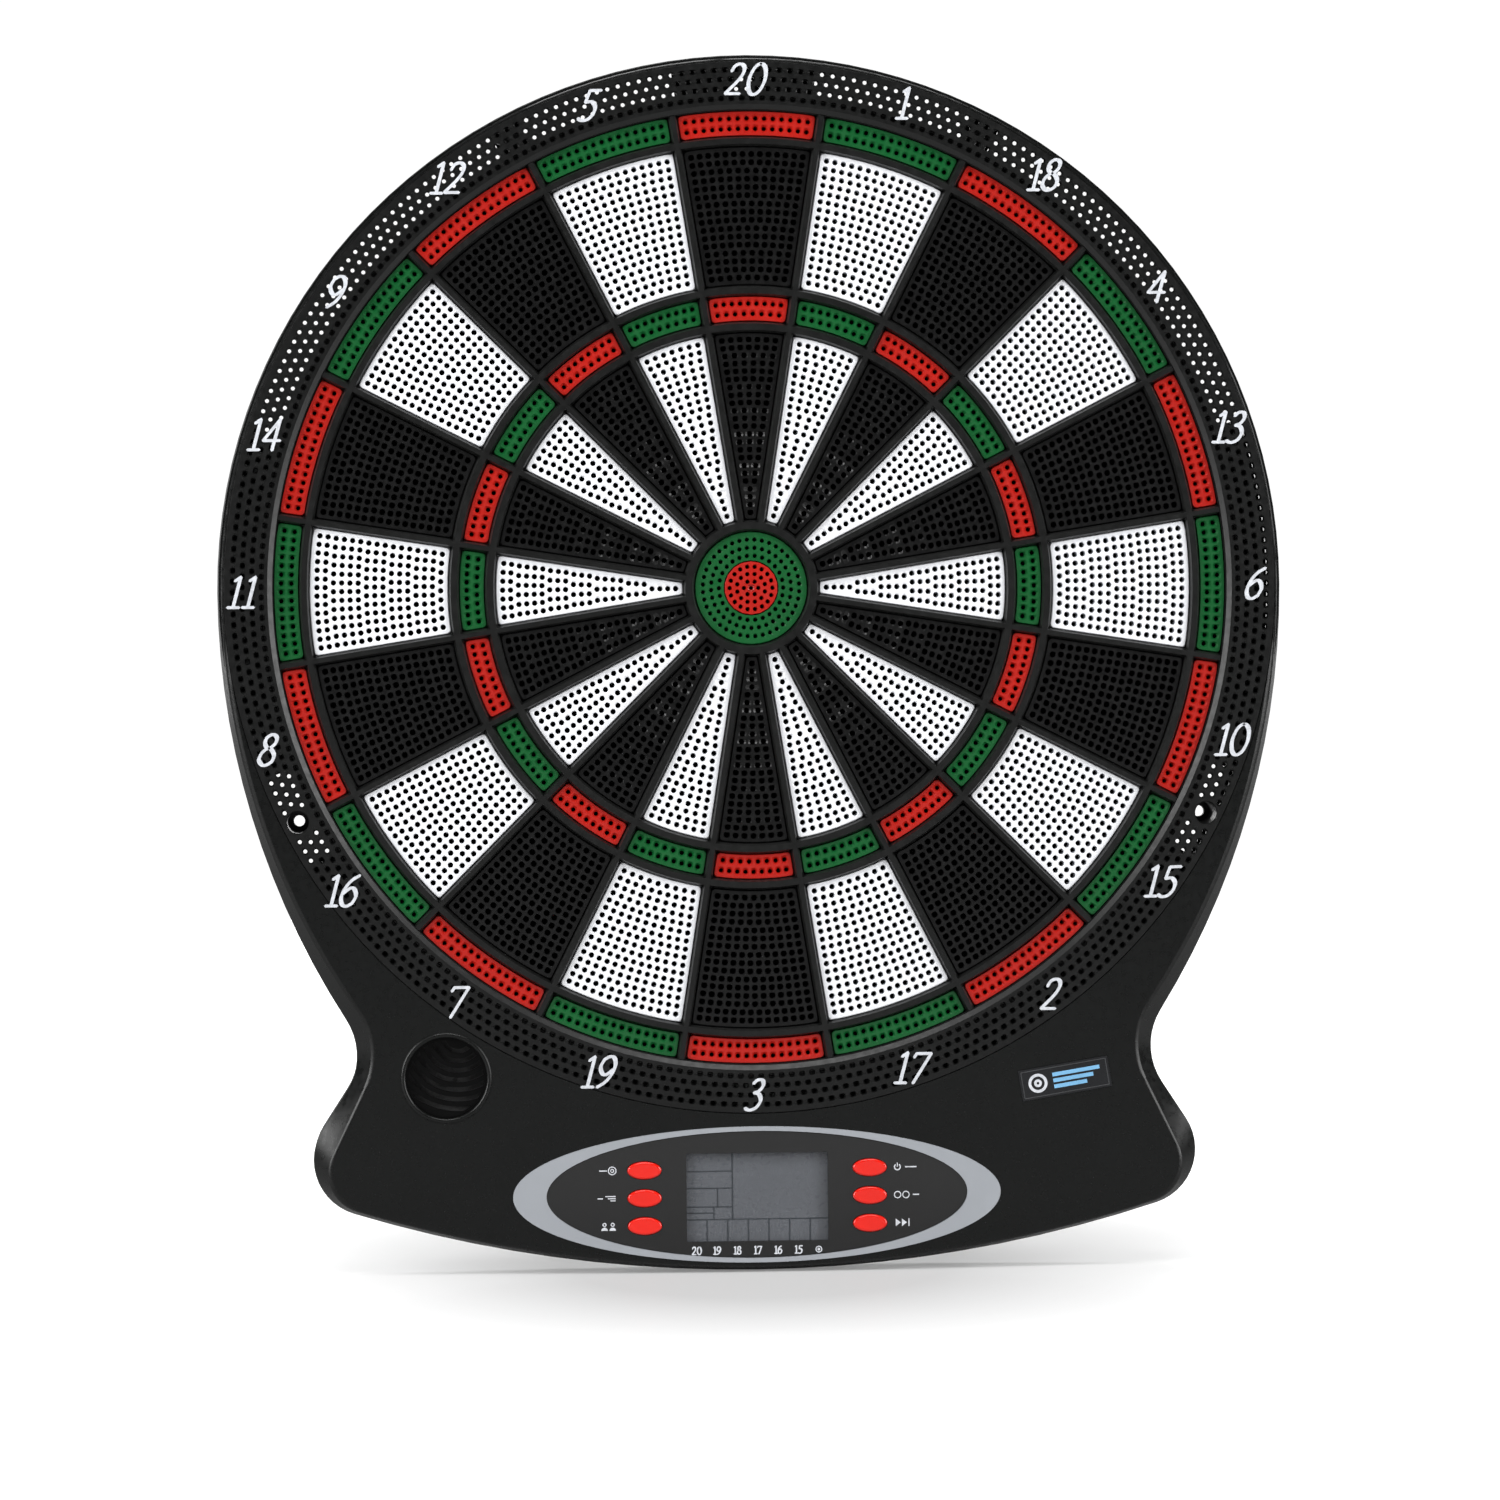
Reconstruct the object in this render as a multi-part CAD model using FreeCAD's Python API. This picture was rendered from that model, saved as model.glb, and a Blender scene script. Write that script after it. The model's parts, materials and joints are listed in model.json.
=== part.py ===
"""Electronic soft-tip dartboard: a wall-hung score board with sprung target segments, an LCD console and AA cells.

Frame: +Z up, +X to the right of someone facing the board, the wall plane is y = 0 and the front faces -Y.
The origin is on the bull's axis in the wall plane. Lengths are in millimetres.
Clock angles are degrees clockwise from the top, seen from the front.
"""

import FreeCAD, Part  # noqa: E401  FreeCAD has to load before Part
import math
import os

from FreeCAD import Vector

# Outline of the board, seen from the front
BOARD_RADIUS = 221.7
SIDE_RADIUS = 334.0
WAIST_RADIUS = 28.0
WAIST_HALF_WIDTH = 166.0
CORNER_RADIUS = 23.5
CONSOLE_HALF_WIDTH = 184.4
FOOT_RADIUS = 560.0
FOOT_Z = -284.7

# Crest line, where the flat front turns over into the sloping edge
CREST_RADIUS = 219.4
CREST_SIDE_RADIUS = 306.0
CREST_WAIST_RADIUS = 32.0
CREST_WAIST_HALF_WIDTH = 159.4
CREST_CORNER_RADIUS = 16.5
CREST_CONSOLE_HALF_WIDTH = 177.6
CREST_FOOT_Z = -282.6
CREST_ROUNDING = 2.2

# Depths, from the front face back to the wall
FRONT_Y = -28.0
EDGE_Y = -21.5
WALL = 2.4
PLATE_BACK_Y = FRONT_Y + WALL
CAVITY_STEP_Y = -20.0
RIDGE_Y = -26.4
SEGMENT_Y = -24.2
WEB_BACK_Y = -16.6
FLANGE_Y = -16.4
SEGMENT_BACK_Y = -14.4
SEGMENT_TRAVEL = 1.2
MAT_Y = -13.0
MEMBRANE_Y = -12.0
FOAM_Y = -11.4
BOARD_Y = -7.6
BOARD_BACK_Y = -5.1
COVER_Y = -2.4

# Scoring layout
NUMBERS = (20, 1, 18, 4, 13, 6, 10, 15, 2, 17, 3, 19, 7, 16, 8, 11, 14, 9, 12, 5)
WEDGE_HALF_ANGLE = 9.0
RINGS = {
    "double": (188.1, 198.1),
    "outer_single": (126.2, 183.3),
    "triple": (111.2, 121.2),
    "inner_single": (28.7, 106.1),
}
SEGMENT_HALF_GAP = 2.2
POCKET_CLEARANCE = 0.4
FLANGE_WIDTH = 1.0
OUTER_BULL_RADIUS = 23.4
INNER_BULL_RADIUS = 11.1
BULL_CLEARANCE = 0.4
INNER_FLANGE_Y = -15.1
DART_HOLE_RADIUS = 1.25
INNER_BULL_HOLES = ((0.0, 1), (3.0, 6), (5.95, 12), (8.9, 18))
OUTER_BULL_HOLES = ((13.3, 26), (16.7, 33), (20.1, 40))

# Web that holds the segments
WEB_RADIUS = 203.2
WEB_SLOPE_IN = 0.8
WEB_SLOPE_DEPTH = 2.0
WEB_POST_RADIUS = 1.85
WEB_POST_CIRCLE = 201.15
WEB_POST_ANGLES = tuple(range(18, 360, 36))
MAT_RADIUS = 197.4
BACKING_RADIUS = 203.2

# Catch ring with the numbers, and its skirt round the target
CATCH_INNER_RADIUS = 198.8
CATCH_OUTER_RADIUS = 218.8
CATCH_CHAMFER = (2.0, 1.2)
CATCH_SEAT_RADIUS = 219.0
LEDGE_RADIUS = 217.8
LEDGE_BACK_Y = -23.6
SKIRT_INNER_RADIUS = 203.6
SKIRT_OUTER_RADIUS = 205.6
SKIRT_BACK_Y = -2.6

# Fastenings
RING_SCREW_CIRCLE = 211.6
RING_SCREW_ANGLES = (27.5, 76.0, 98.0, 140.0, 163.0, 197.0, 220.0, 262.0, 284.0, 332.5)
CONSOLE_SCREWS = ((164.0, -240.0), (154.0, -196.0), (-154.0, -196.0), (-164.0, -240.0))
SCREW_RADIUS = 1.3
SCREW_LENGTH = 12.0
HEAD_RADIUS = 2.6
HEAD_HEIGHT = 1.2
SMALL_SCREW_RADIUS = 0.95
SMALL_HEAD_RADIUS = 1.9
SHANK_CLEARANCE = 0.05
BOSS_RADIUS = 3.0
WALL_SCREW_CIRCLE = 212.0
WALL_SCREW_ANGLE = 116.8
WALL_SCREW_RADIUS = 2.3
SLEEVE_BORE = 4.5
SLEEVE_RADIUS = 5.55
SLEEVE_MOUTH = (5.0, 0.6)
SLEEVE_FLOOR_Y = -3.0

# Rear cover: each window is open between two clock angles, out to a radius, and has a twin on the other side
COVER_GAP = 0.4
COVER_DISC_RADIUS = 206.5
COVER_WINDOWS = ((8.0, 25.8, 226.0), (29.2, 71.5, 226.0), (111.0, 121.6, 217.6))
COVER_RIB_RADII = (50.0, 110.0, 170.0)
KEYHOLE_ENTRY_Z = 210.2
KEYHOLE_SLOT_Z = 214.5
KEYHOLE_ENTRY_RADIUS = 4.4
KEYHOLE_SLOT_RADIUS = 2.2

# Console
CONSOLE_Z = -252.6
TRIM_OUTER = (101.8, 28.5)
TRIM_INNER = (87.8, 26.5)
TRIM_PROUD = 0.4
TRIM_BACK_Y = -26.8
PANEL_RAISED = (87.4, 26.1)
PANEL_FLANGE = (99.2, 27.1)
PANEL_OPENING = (99.6, 27.5)
PANEL_Y = -27.6
PANEL_FLANGE_Y = -26.7
PANEL_BACK_Y = -24.9
BUTTON_X = 47.0
BUTTON_Z = (-242.0, -253.6, -265.2)
BUTTON_NAMES = (
    ("game", "option", "player"),
    ("power", "double", "start"),
)
BUTTON_SIZE = (7.1, 3.65)
BUTTON_CLEARANCE = 0.3
BUTTON_FLANGE = (8.6, 5.1)
BUTTON_FRONT_Y = -29.2
BUTTON_FLANGE_Y = -24.7
BUTTON_BACK_Y = -23.8
KEY_DOME_Y = -22.5
KEYPAD_Y = -20.6
LCD_Z = -253.7
LCD_WINDOW = (59.0, 36.8)
LENS_SIZE = (63.0, 40.8)
LENS_Y = -26.0
LENS_THICKNESS = 1.0
GLASS_SIZE = (62.0, 40.0)
GLASS_Y = -24.7
GLASS_BACK_Y = -22.4
PCB_Y = -19.4
PCB_BACK_Y = -17.8
PCB_HALF_WIDTH = 68.0
PCB_Z = (-276.5, -230.0)
PCB_SCREWS = ((62.0, -239.0), (62.0, -266.0), (-62.0, -239.0), (-62.0, -266.0))
PCB_BOSS_RADIUS = 2.4

# Speaker and badge
SPEAKER = (-128.9, -202.4)
SPEAKER_HOLE_RADIUS = 16.9
SPEAKER_BEAD = (17.95, 1.15)
SPEAKER_BEAD_RISE = 0.7
SPEAKER_CUP = (18.4, 20.0)
SPEAKER_CUP_BACK_Y = -21.0
GRILLE_RADIUS = 18.0
GRILLE_BACK_Y = -24.2
LOUVRE_WIDTH = 1.9
BADGE = (129.1, -206.0)
BADGE_SIZE = (38.0, 13.0)
BADGE_TILT = 9.2
BADGE_RECESS = 0.6
BADGE_THICKNESS = 0.8

LEAD_RADIUS = 0.6

# Batteries, lying along X in a bay at the right of the console
CELL_RADIUS = 7.2
CELL_LENGTH = 49.5
NUB_RADIUS = 2.7
NUB_LENGTH = 1.0
CELL_PITCH = 15.2
CELL_Y = -10.2
CELL_MIDDLE_Z = -237.7
SPRING_LENGTH = 2.8
CONTACT_THICKNESS = 0.5
CELL_SLACK = 0.1
BAY_X = (76.0, 130.4)
BAY_Z = (-261.0, -214.4)
BAY_WALL = 2.0
BAY_FLOOR_Y = -18.4
DOOR_MARGIN = 1.0
DOOR_GAP = 0.2


# ---------------------------------------------------------------- drawing helpers


def at(x, z, y=0.0):
    """A point given by its place on the front view and its depth."""
    return Vector(x, y, z)


def clock(radius, angle):
    """(x, z) at a clock angle."""
    a = math.radians(angle)
    return radius * math.sin(a), radius * math.cos(a)


def prism(outer, y_front, y_back, holes=()):
    """A solid between two depths from a closed wire drawn at y = 0, with holes from more wires."""
    face = Part.Face([outer, *holes]) if holes else Part.Face(outer)
    face.translate(Vector(0, y_front, 0))
    return face.extrude(Vector(0, y_back - y_front, 0))


def disc(radius, y_front, y_back, x=0.0, z=0.0):
    return Part.makeCylinder(radius, y_back - y_front, at(x, z, y_front), Vector(0, 1, 0))


def tube(outer, inner, y_front, y_back, x=0.0, z=0.0):
    return disc(outer, y_front, y_back, x, z).cut(disc(inner, y_front - 1, y_back + 1, x, z))


def block(x_range, z_range, y_front, y_back):
    return Part.makeBox(
        x_range[1] - x_range[0],
        y_back - y_front,
        z_range[1] - z_range[0],
        at(x_range[0], z_range[0], y_front),
    )


def centred_block(size, centre, y_front, y_back):
    (width, height), (x, z) = size, centre
    return block((x - width / 2, x + width / 2), (z - height / 2, z + height / 2), y_front, y_back)


def circle_wire(radius, x=0.0, z=0.0):
    return Part.Wire(Part.Circle(at(x, z), Vector(0, 1, 0), radius).toShape())


def ellipse_wire(semi_axes, x, z):
    a, b = semi_axes
    return Part.Wire(Part.Ellipse(at(x + a, z), at(x, z + b), at(x, z)).toShape())


def oval(semi_axes, centre, y_front, y_back):
    return prism(ellipse_wire(semi_axes, *centre), y_front, y_back)


def revolved(profile, x, z):
    """A solid turned about the axis along Y through (x, z), from (radius, y) corners."""
    corners = [at(x + r, z, y) for r, y in profile]
    face = Part.Face(Part.makePolygon([*corners, corners[0]]))
    return face.revolve(at(x, z), Vector(0, 1, 0), 360)


def arc_edge(start, middle, end):
    return Part.Arc(at(*start), at(*middle), at(*end)).toShape()


def turned(shape, angle):
    """The shape turned clockwise about the bull's axis, seen from the front."""
    copy = shape.copy()
    copy.rotate(Vector(0, 0, 0), Vector(0, 1, 0), angle)
    return copy


def fused(shapes):
    first, *rest = shapes
    return first.fuse(rest).removeSplitter() if rest else first


def on_circle(centre, radius, other, share=1.0):
    """The point of a circle that lies towards another point, or away from it with share -1."""
    dx, dz = other[0] - centre[0], other[1] - centre[1]
    length = math.hypot(dx, dz) * share
    return centre[0] + radius * dx / length, centre[1] + radius * dz / length


def middle_of_arc(centre, radius, start, end):
    """The point of the shorter arc halfway between two of its points."""
    halfway = ((start[0] + end[0]) / 2, (start[1] + end[1]) / 2)
    return on_circle(centre, radius, halfway)


def crossed_tangent(centre_a, radius_a, centre_b, radius_b):
    """The points where the tangent that crosses between two circles touches them, on the side towards +X."""
    dx, dz = centre_b[0] - centre_a[0], centre_b[1] - centre_a[1]
    distance = math.hypot(dx, dz)
    turn = -math.acos((radius_a + radius_b) / distance)
    ux = (dx * math.cos(turn) - dz * math.sin(turn)) / distance
    uz = (dx * math.sin(turn) + dz * math.cos(turn)) / distance
    touch_a = (centre_a[0] + radius_a * ux, centre_a[1] + radius_a * uz)
    touch_b = (centre_b[0] - radius_b * ux, centre_b[1] - radius_b * uz)
    return touch_a, touch_b


def silhouette(top, side, waist, waist_x, corner, corner_x, foot, foot_z, inset=0.0):
    """The board's closed outline: a round top, long side arcs, a waist, round console corners and a bowed foot.

    Each arc is tangent to the next. inset shrinks it by that much all round.
    """
    side_centre = (top - side, 0.0)
    waist_centre = (
        waist_x + waist,
        -math.sqrt((side + waist) ** 2 - (waist_x + waist - side_centre[0]) ** 2),
    )
    foot_centre = (0.0, foot_z + foot)
    corner_centre = (
        corner_x - corner,
        foot_centre[1] - math.sqrt((foot - corner) ** 2 - (corner_x - corner) ** 2),
    )
    top, side, corner, foot = (r - inset for r in (top, side, corner, foot))
    waist += inset
    shoulder = (top, 0.0)
    under_arm = on_circle(side_centre, side, waist_centre)
    flare_start, flare_end = crossed_tangent(waist_centre, waist, corner_centre, corner)
    heel = on_circle(foot_centre, foot, corner_centre)

    def mirrored(point):
        return -point[0], point[1]

    right = [
        (under_arm, middle_of_arc(side_centre, side, under_arm, shoulder), shoulder),
        (flare_start, middle_of_arc(waist_centre, waist, flare_start, under_arm), under_arm),
        (flare_end, None, flare_start),
        (heel, middle_of_arc(corner_centre, corner, heel, flare_end), flare_end),
    ]
    edges = [arc_edge(shoulder, (0.0, top), mirrored(shoulder))]
    for end, middle, start in right:
        a, b = mirrored(start), mirrored(end)
        edges.append(arc_edge(a, mirrored(middle), b) if middle else Part.makeLine(at(*a), at(*b)))
    edges.append(arc_edge(mirrored(heel), (0.0, foot_centre[1] - foot), heel))
    for start, middle, end in reversed(right):
        edges.append(arc_edge(start, middle, end) if middle else Part.makeLine(at(*start), at(*end)))
    return Part.Wire(edges)


def outline(inset=0.0):
    return silhouette(
        BOARD_RADIUS,
        SIDE_RADIUS,
        WAIST_RADIUS,
        WAIST_HALF_WIDTH,
        CORNER_RADIUS,
        CONSOLE_HALF_WIDTH,
        FOOT_RADIUS,
        FOOT_Z,
        inset,
    )


def crest(inset=0.0):
    return silhouette(
        CREST_RADIUS,
        CREST_SIDE_RADIUS,
        CREST_WAIST_RADIUS,
        CREST_WAIST_HALF_WIDTH,
        CREST_CORNER_RADIUS,
        CREST_CONSOLE_HALF_WIDTH,
        FOOT_RADIUS,
        CREST_FOOT_Z,
        inset,
    )


def wedge_wire(inner, outer, half_gap, half_angle=WEDGE_HALF_ANGLE):
    """A wedge centred on clock angle 0 between two radii, each side half_gap inside its radial line."""

    def corner(radius, side):
        angle = half_angle - math.degrees(math.asin(half_gap / radius))
        return clock(radius, side * angle)

    edges = [
        arc_edge(corner(outer, -1), (0.0, outer), corner(outer, 1)),
        Part.makeLine(at(*corner(outer, 1)), at(*corner(inner, 1))),
        arc_edge(corner(inner, 1), (0.0, inner), corner(inner, -1)),
        Part.makeLine(at(*corner(inner, -1)), at(*corner(outer, -1))),
    ]
    return Part.Wire(edges)


def screw(x, z, y_head, radius, head_radius, length):
    """A pan-head screw driven from the back: y_head is the depth of its head's outer face."""
    shoulder = y_head - HEAD_HEIGHT
    rounding = 0.5
    head = revolved(
        (
            (0.0, y_head),
            (head_radius - rounding, y_head),
            (head_radius, y_head - rounding),
            (head_radius, shoulder),
            (0.0, shoulder),
        ),
        x,
        z,
    )
    shank = disc(radius, shoulder - length, shoulder, x, z)
    arm, slot, slot_depth = 1.2 * head_radius, 0.7, 0.6
    recess = [centred_block(size, (x, z), y_head - slot_depth, y_head + 1) for size in ((arm, slot), (slot, arm))]
    return fused([head, shank]).cut(fused(recess))


# ---------------------------------------------------------------- casing


def ring_screw_places():
    return [clock(RING_SCREW_CIRCLE, angle) for angle in RING_SCREW_ANGLES]


def wall_screw_places():
    return [clock(WALL_SCREW_CIRCLE, side * WALL_SCREW_ANGLE) for side in (1, -1)]


def screw_holes(places):
    return [disc(SCREW_RADIUS + SHANK_CLEARANCE, COVER_Y - SCREW_LENGTH, 1.0, x, z) for x, z in places]


def front_housing():
    """Frame round the target, with the console plate below it and side walls back to the wall."""
    sides = prism(outline(), EDGE_Y, 0.0)
    lower, upper = outline(), crest()
    lower.translate(Vector(0, EDGE_Y, 0))
    upper.translate(Vector(0, FRONT_Y, 0))
    slope = Part.makeLoft([lower, upper], True, True)
    body = fused([sides, slope])
    crest_edges = [
        e
        for e in body.Edges
        if all(abs(v.Point.y - FRONT_Y) < 1e-6 for v in e.Vertexes) and abs(e.CenterOfMass.y - FRONT_Y) < 1e-6
    ]
    body = body.makeFillet(CREST_ROUNDING, crest_edges)
    body = body.cut(prism(outline(WALL), CAVITY_STEP_Y, 1.0))
    body = body.cut(prism(crest(CREST_RADIUS - LEDGE_RADIUS), PLATE_BACK_Y, CAVITY_STEP_Y))
    ledge = tube(CATCH_SEAT_RADIUS + 2.0, LEDGE_RADIUS, PLATE_BACK_Y, LEDGE_BACK_Y)
    cup = tube(*reversed(SPEAKER_CUP), PLATE_BACK_Y, SPEAKER_CUP_BACK_Y, *SPEAKER)
    bead_radius, bead_section = SPEAKER_BEAD
    bead_centre = at(*SPEAKER, FRONT_Y - SPEAKER_BEAD_RISE + bead_section)
    bead = Part.makeTorus(bead_radius, bead_section, bead_centre, Vector(0, 1, 0))
    bosses = [disc(BOSS_RADIUS, PLATE_BACK_Y, COVER_Y, x, z) for x, z in CONSOLE_SCREWS]
    body = fused([body, ledge, cup, bead, *bosses])
    centre = (0.0, CONSOLE_Z)
    openings = [
        disc(CATCH_SEAT_RADIUS, FRONT_Y - 1, PLATE_BACK_Y),
        disc(LEDGE_RADIUS, PLATE_BACK_Y - 1, 1.0),
        oval(TRIM_OUTER, centre, FRONT_Y - 1, TRIM_BACK_Y),
        oval(PANEL_OPENING, centre, TRIM_BACK_Y - 1, PLATE_BACK_Y + 1),
        disc(SPEAKER_HOLE_RADIUS, FRONT_Y - 1, PLATE_BACK_Y + 0.1, *SPEAKER),
        badge_block(BADGE_SIZE[0] + 0.4, BADGE_SIZE[1] + 0.4, FRONT_Y - 1, FRONT_Y + BADGE_RECESS),
    ]
    openings += screw_holes(CONSOLE_SCREWS)
    return body.cut(openings)


def catch_ring():
    """Annular plate that carries the numbers and catches stray darts, with a skirt round the target and its bosses."""
    chamfer_width, chamfer_depth = CATCH_CHAMFER
    plate = revolved(
        (
            (CATCH_INNER_RADIUS + chamfer_width, FRONT_Y),
            (CATCH_OUTER_RADIUS, FRONT_Y),
            (CATCH_OUTER_RADIUS, PLATE_BACK_Y),
            (CATCH_INNER_RADIUS, PLATE_BACK_Y),
            (CATCH_INNER_RADIUS, FRONT_Y + chamfer_depth),
        ),
        0.0,
        0.0,
    )
    skirt = tube(SKIRT_OUTER_RADIUS, SKIRT_INNER_RADIUS, PLATE_BACK_Y, SKIRT_BACK_Y)
    bosses = [disc(BOSS_RADIUS, PLATE_BACK_Y, COVER_Y, x, z) for x, z in ring_screw_places()]
    body = fused([plate, skirt, *bosses])
    holes = screw_holes(ring_screw_places())
    holes += [disc(SLEEVE_RADIUS, FRONT_Y - 1, 1.0, x, z) for x, z in wall_screw_places()]
    tail_notch = block((-13.0, 13.0), (-SKIRT_OUTER_RADIUS - 2, 1 - CATCH_INNER_RADIUS), MAT_Y, 0.0)
    return body.cut([*holes, tail_notch])


def wall_screw_sleeves():
    """Two sleeves pressed into the number ring, which lead the wall screws in and take their clamping load."""
    mouth_radius, mouth_depth = SLEEVE_MOUTH
    profile = (
        (mouth_radius, FRONT_Y),
        (SLEEVE_RADIUS, FRONT_Y),
        (SLEEVE_RADIUS, 0.0),
        (WALL_SCREW_RADIUS, 0.0),
        (WALL_SCREW_RADIUS, SLEEVE_FLOOR_Y),
        (SLEEVE_BORE, SLEEVE_FLOOR_Y),
        (SLEEVE_BORE, FRONT_Y + mouth_depth),
    )
    return Part.makeCompound([revolved(profile, x, z) for x, z in wall_screw_places()])


def cover_window(start, end, outer):
    """Cutter for one open stretch behind the ring, between two clock angles."""
    half = (end - start) / 2
    wire = wedge_wire(COVER_DISC_RADIUS, outer, 0.0, half)
    return turned(prism(wire, COVER_Y - 1, 1.0), start + half)


def keyhole():
    entry = disc(KEYHOLE_ENTRY_RADIUS, COVER_Y - 1, 1.0, 0.0, KEYHOLE_ENTRY_Z)
    end = disc(KEYHOLE_SLOT_RADIUS, COVER_Y - 1, 1.0, 0.0, KEYHOLE_SLOT_Z)
    half = KEYHOLE_SLOT_RADIUS
    slot = block((-half, half), (KEYHOLE_ENTRY_Z, KEYHOLE_SLOT_Z), COVER_Y - 1, 1.0)
    return fused([entry, slot, end])


def bay_box(grow, y_front, y_back):
    return block(
        (BAY_X[0] - grow, BAY_X[1] + grow),
        (BAY_Z[0] - grow, BAY_Z[1] + grow),
        y_front,
        y_back,
    )


def rear_cover():
    """Flat back with the keyhole hanger, ribs that press on the backing board, and the battery bay."""
    plate = prism(outline(WALL + COVER_GAP), COVER_Y, 0.0)
    windows = []
    for start, end, outer in COVER_WINDOWS:
        windows += [cover_window(start, end, outer), cover_window(-end, -start, outer)]
    plate = plate.cut(windows)
    ribs = [tube(r + 1, r - 1, BOARD_BACK_Y, COVER_Y) for r in COVER_RIB_RADII]
    bay = bay_box(BAY_WALL, BAY_FLOOR_Y - BAY_WALL, COVER_Y)
    body = fused([plate, bay, *ribs])
    cutters = [keyhole(), bay_box(0.0, BAY_FLOOR_Y, 1.0), bay_box(DOOR_MARGIN, COVER_Y, 1.0)]
    for x, z in [*ring_screw_places(), *CONSOLE_SCREWS]:
        cutters.append(disc(SCREW_RADIUS + 0.3, COVER_Y - 1, 1.0, x, z))
        cutters.append(disc(HEAD_RADIUS + 0.4, -HEAD_HEIGHT - 0.2, 1.0, x, z))
    for x, z in wall_screw_places():
        cutters.append(disc(SLEEVE_RADIUS + 0.4, COVER_Y - 1, 1.0, x, z))
    lead_slot = block((BAY_X[0] - BAY_WALL - 1, BAY_X[0] + 1), (-226.6, -221.0), -14.0, -10.0)
    return body.cut([*cutters, lead_slot])


def battery_door():
    """Door over the bay, with grip ridges and a latch tongue that drops inside the bay's far wall."""
    plate = bay_box(DOOR_MARGIN - DOOR_GAP, COVER_Y + 0.1, 0.0)
    middle_z = (BAY_Z[0] + BAY_Z[1]) / 2
    tongue = block((BAY_X[1] - 2.2, BAY_X[1] - 0.6), (middle_z - 6, middle_z + 6), COVER_Y - 2.5, COVER_Y + 0.1)
    grooves = [
        block((x, x + 1.2), (middle_z - 9, middle_z + 9), -0.6, 1.0)
        for x in (BAY_X[1] - 16.0, BAY_X[1] - 12.8, BAY_X[1] - 9.6, BAY_X[1] - 6.4)
    ]
    return fused([plate, tongue]).cut(grooves)


def badge_block(width, height, y_front, y_back):
    plate = centred_block((width, height), BADGE, y_front, y_back)
    plate.rotate(at(*BADGE), Vector(0, 1, 0), -BADGE_TILT)
    return plate


def badge_plate():
    back = FRONT_Y + BADGE_RECESS
    return badge_block(*BADGE_SIZE, back - BADGE_THICKNESS, back)


# ---------------------------------------------------------------- target


def web_post_places():
    return [clock(WEB_POST_CIRCLE, angle) for angle in WEB_POST_ANGLES]


def web_pocket(inner, outer):
    """Cutter for one segment's pocket, which opens out towards the front."""
    grow = POCKET_CLEARANCE
    wide = grow + WEB_SLOPE_IN
    front = wedge_wire(inner - wide, outer + wide, SEGMENT_HALF_GAP - wide)
    throat = wedge_wire(inner - grow, outer + grow, SEGMENT_HALF_GAP - grow)
    front.translate(Vector(0, RIDGE_Y, 0))
    throat.translate(Vector(0, RIDGE_Y + WEB_SLOPE_DEPTH, 0))
    funnel = Part.makeLoft([front, throat], True, True)
    shaft = prism(wedge_wire(inner - grow, outer + grow, SEGMENT_HALF_GAP - grow), RIDGE_Y + WEB_SLOPE_DEPTH, 0.0)
    return funnel, shaft


def web():
    """The black web: radial spokes and ring walls with sloped tops, on a rim with posts for the backing board."""
    rim_top = PLATE_BACK_Y + 0.2
    rim = tube(WEB_RADIUS, CATCH_INNER_RADIUS - 0.4, rim_top, WEB_BACK_Y)
    field = disc(CATCH_INNER_RADIUS - 0.3, RIDGE_Y, WEB_BACK_Y)
    cutters = []
    for inner, outer in RINGS.values():
        pocket = web_pocket(inner, outer)
        for step in range(len(NUMBERS)):
            cutters += [turned(piece, step * 2 * WEDGE_HALF_ANGLE) for piece in pocket]
    bull = OUTER_BULL_RADIUS + POCKET_CLEARANCE
    cutters.append(
        revolved(
            (
                (0.0, RIDGE_Y - 0.1),
                (bull + WEB_SLOPE_IN, RIDGE_Y - 0.1),
                (bull + WEB_SLOPE_IN, RIDGE_Y),
                (bull, RIDGE_Y + WEB_SLOPE_DEPTH),
                (bull, 0.0),
                (0.0, 0.0),
            ),
            0.0,
            0.0,
        )
    )
    posts = [disc(WEB_POST_RADIUS, WEB_BACK_Y - 1, BOARD_Y, x, z) for x, z in web_post_places()]
    hole = SMALL_SCREW_RADIUS + SHANK_CLEARANCE
    holes = [disc(hole, BOARD_Y - 10, 0.0, x, z) for x, z in web_post_places()]
    return fused([rim, field.cut(cutters), *posts]).cut(holes)


def segment(inner, outer):
    """One target segment: a block with a retaining flange behind the web."""
    block_part = prism(wedge_wire(inner, outer, SEGMENT_HALF_GAP), SEGMENT_Y, FLANGE_Y)
    flange = prism(
        wedge_wire(inner - FLANGE_WIDTH, outer + FLANGE_WIDTH, SEGMENT_HALF_GAP - FLANGE_WIDTH),
        FLANGE_Y,
        SEGMENT_BACK_Y,
    )
    return block_part.fuse(flange)


def number_segments(step):
    """The four segments of one number, as separate solids."""
    return Part.makeCompound([turned(segment(*RINGS[name]), step * 2 * WEDGE_HALF_ANGLE) for name in RINGS])


def dart_holes(rows):
    cutters = []
    for radius, count in rows:
        for i in range(count):
            x, z = clock(radius, 360.0 * i / count)
            cutters.append(disc(DART_HOLE_RADIUS, SEGMENT_Y - 1, 0.0, x, z))
    return cutters


def outer_bull():
    inner = INNER_BULL_RADIUS + BULL_CLEARANCE
    ring = tube(OUTER_BULL_RADIUS, inner, SEGMENT_Y, FLANGE_Y)
    flange_bore = INNER_BULL_RADIUS + FLANGE_WIDTH + 2 * BULL_CLEARANCE - 0.1
    flange = tube(OUTER_BULL_RADIUS + FLANGE_WIDTH, flange_bore, FLANGE_Y, SEGMENT_BACK_Y)
    return fused([ring, flange]).cut(dart_holes(OUTER_BULL_HOLES))


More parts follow.
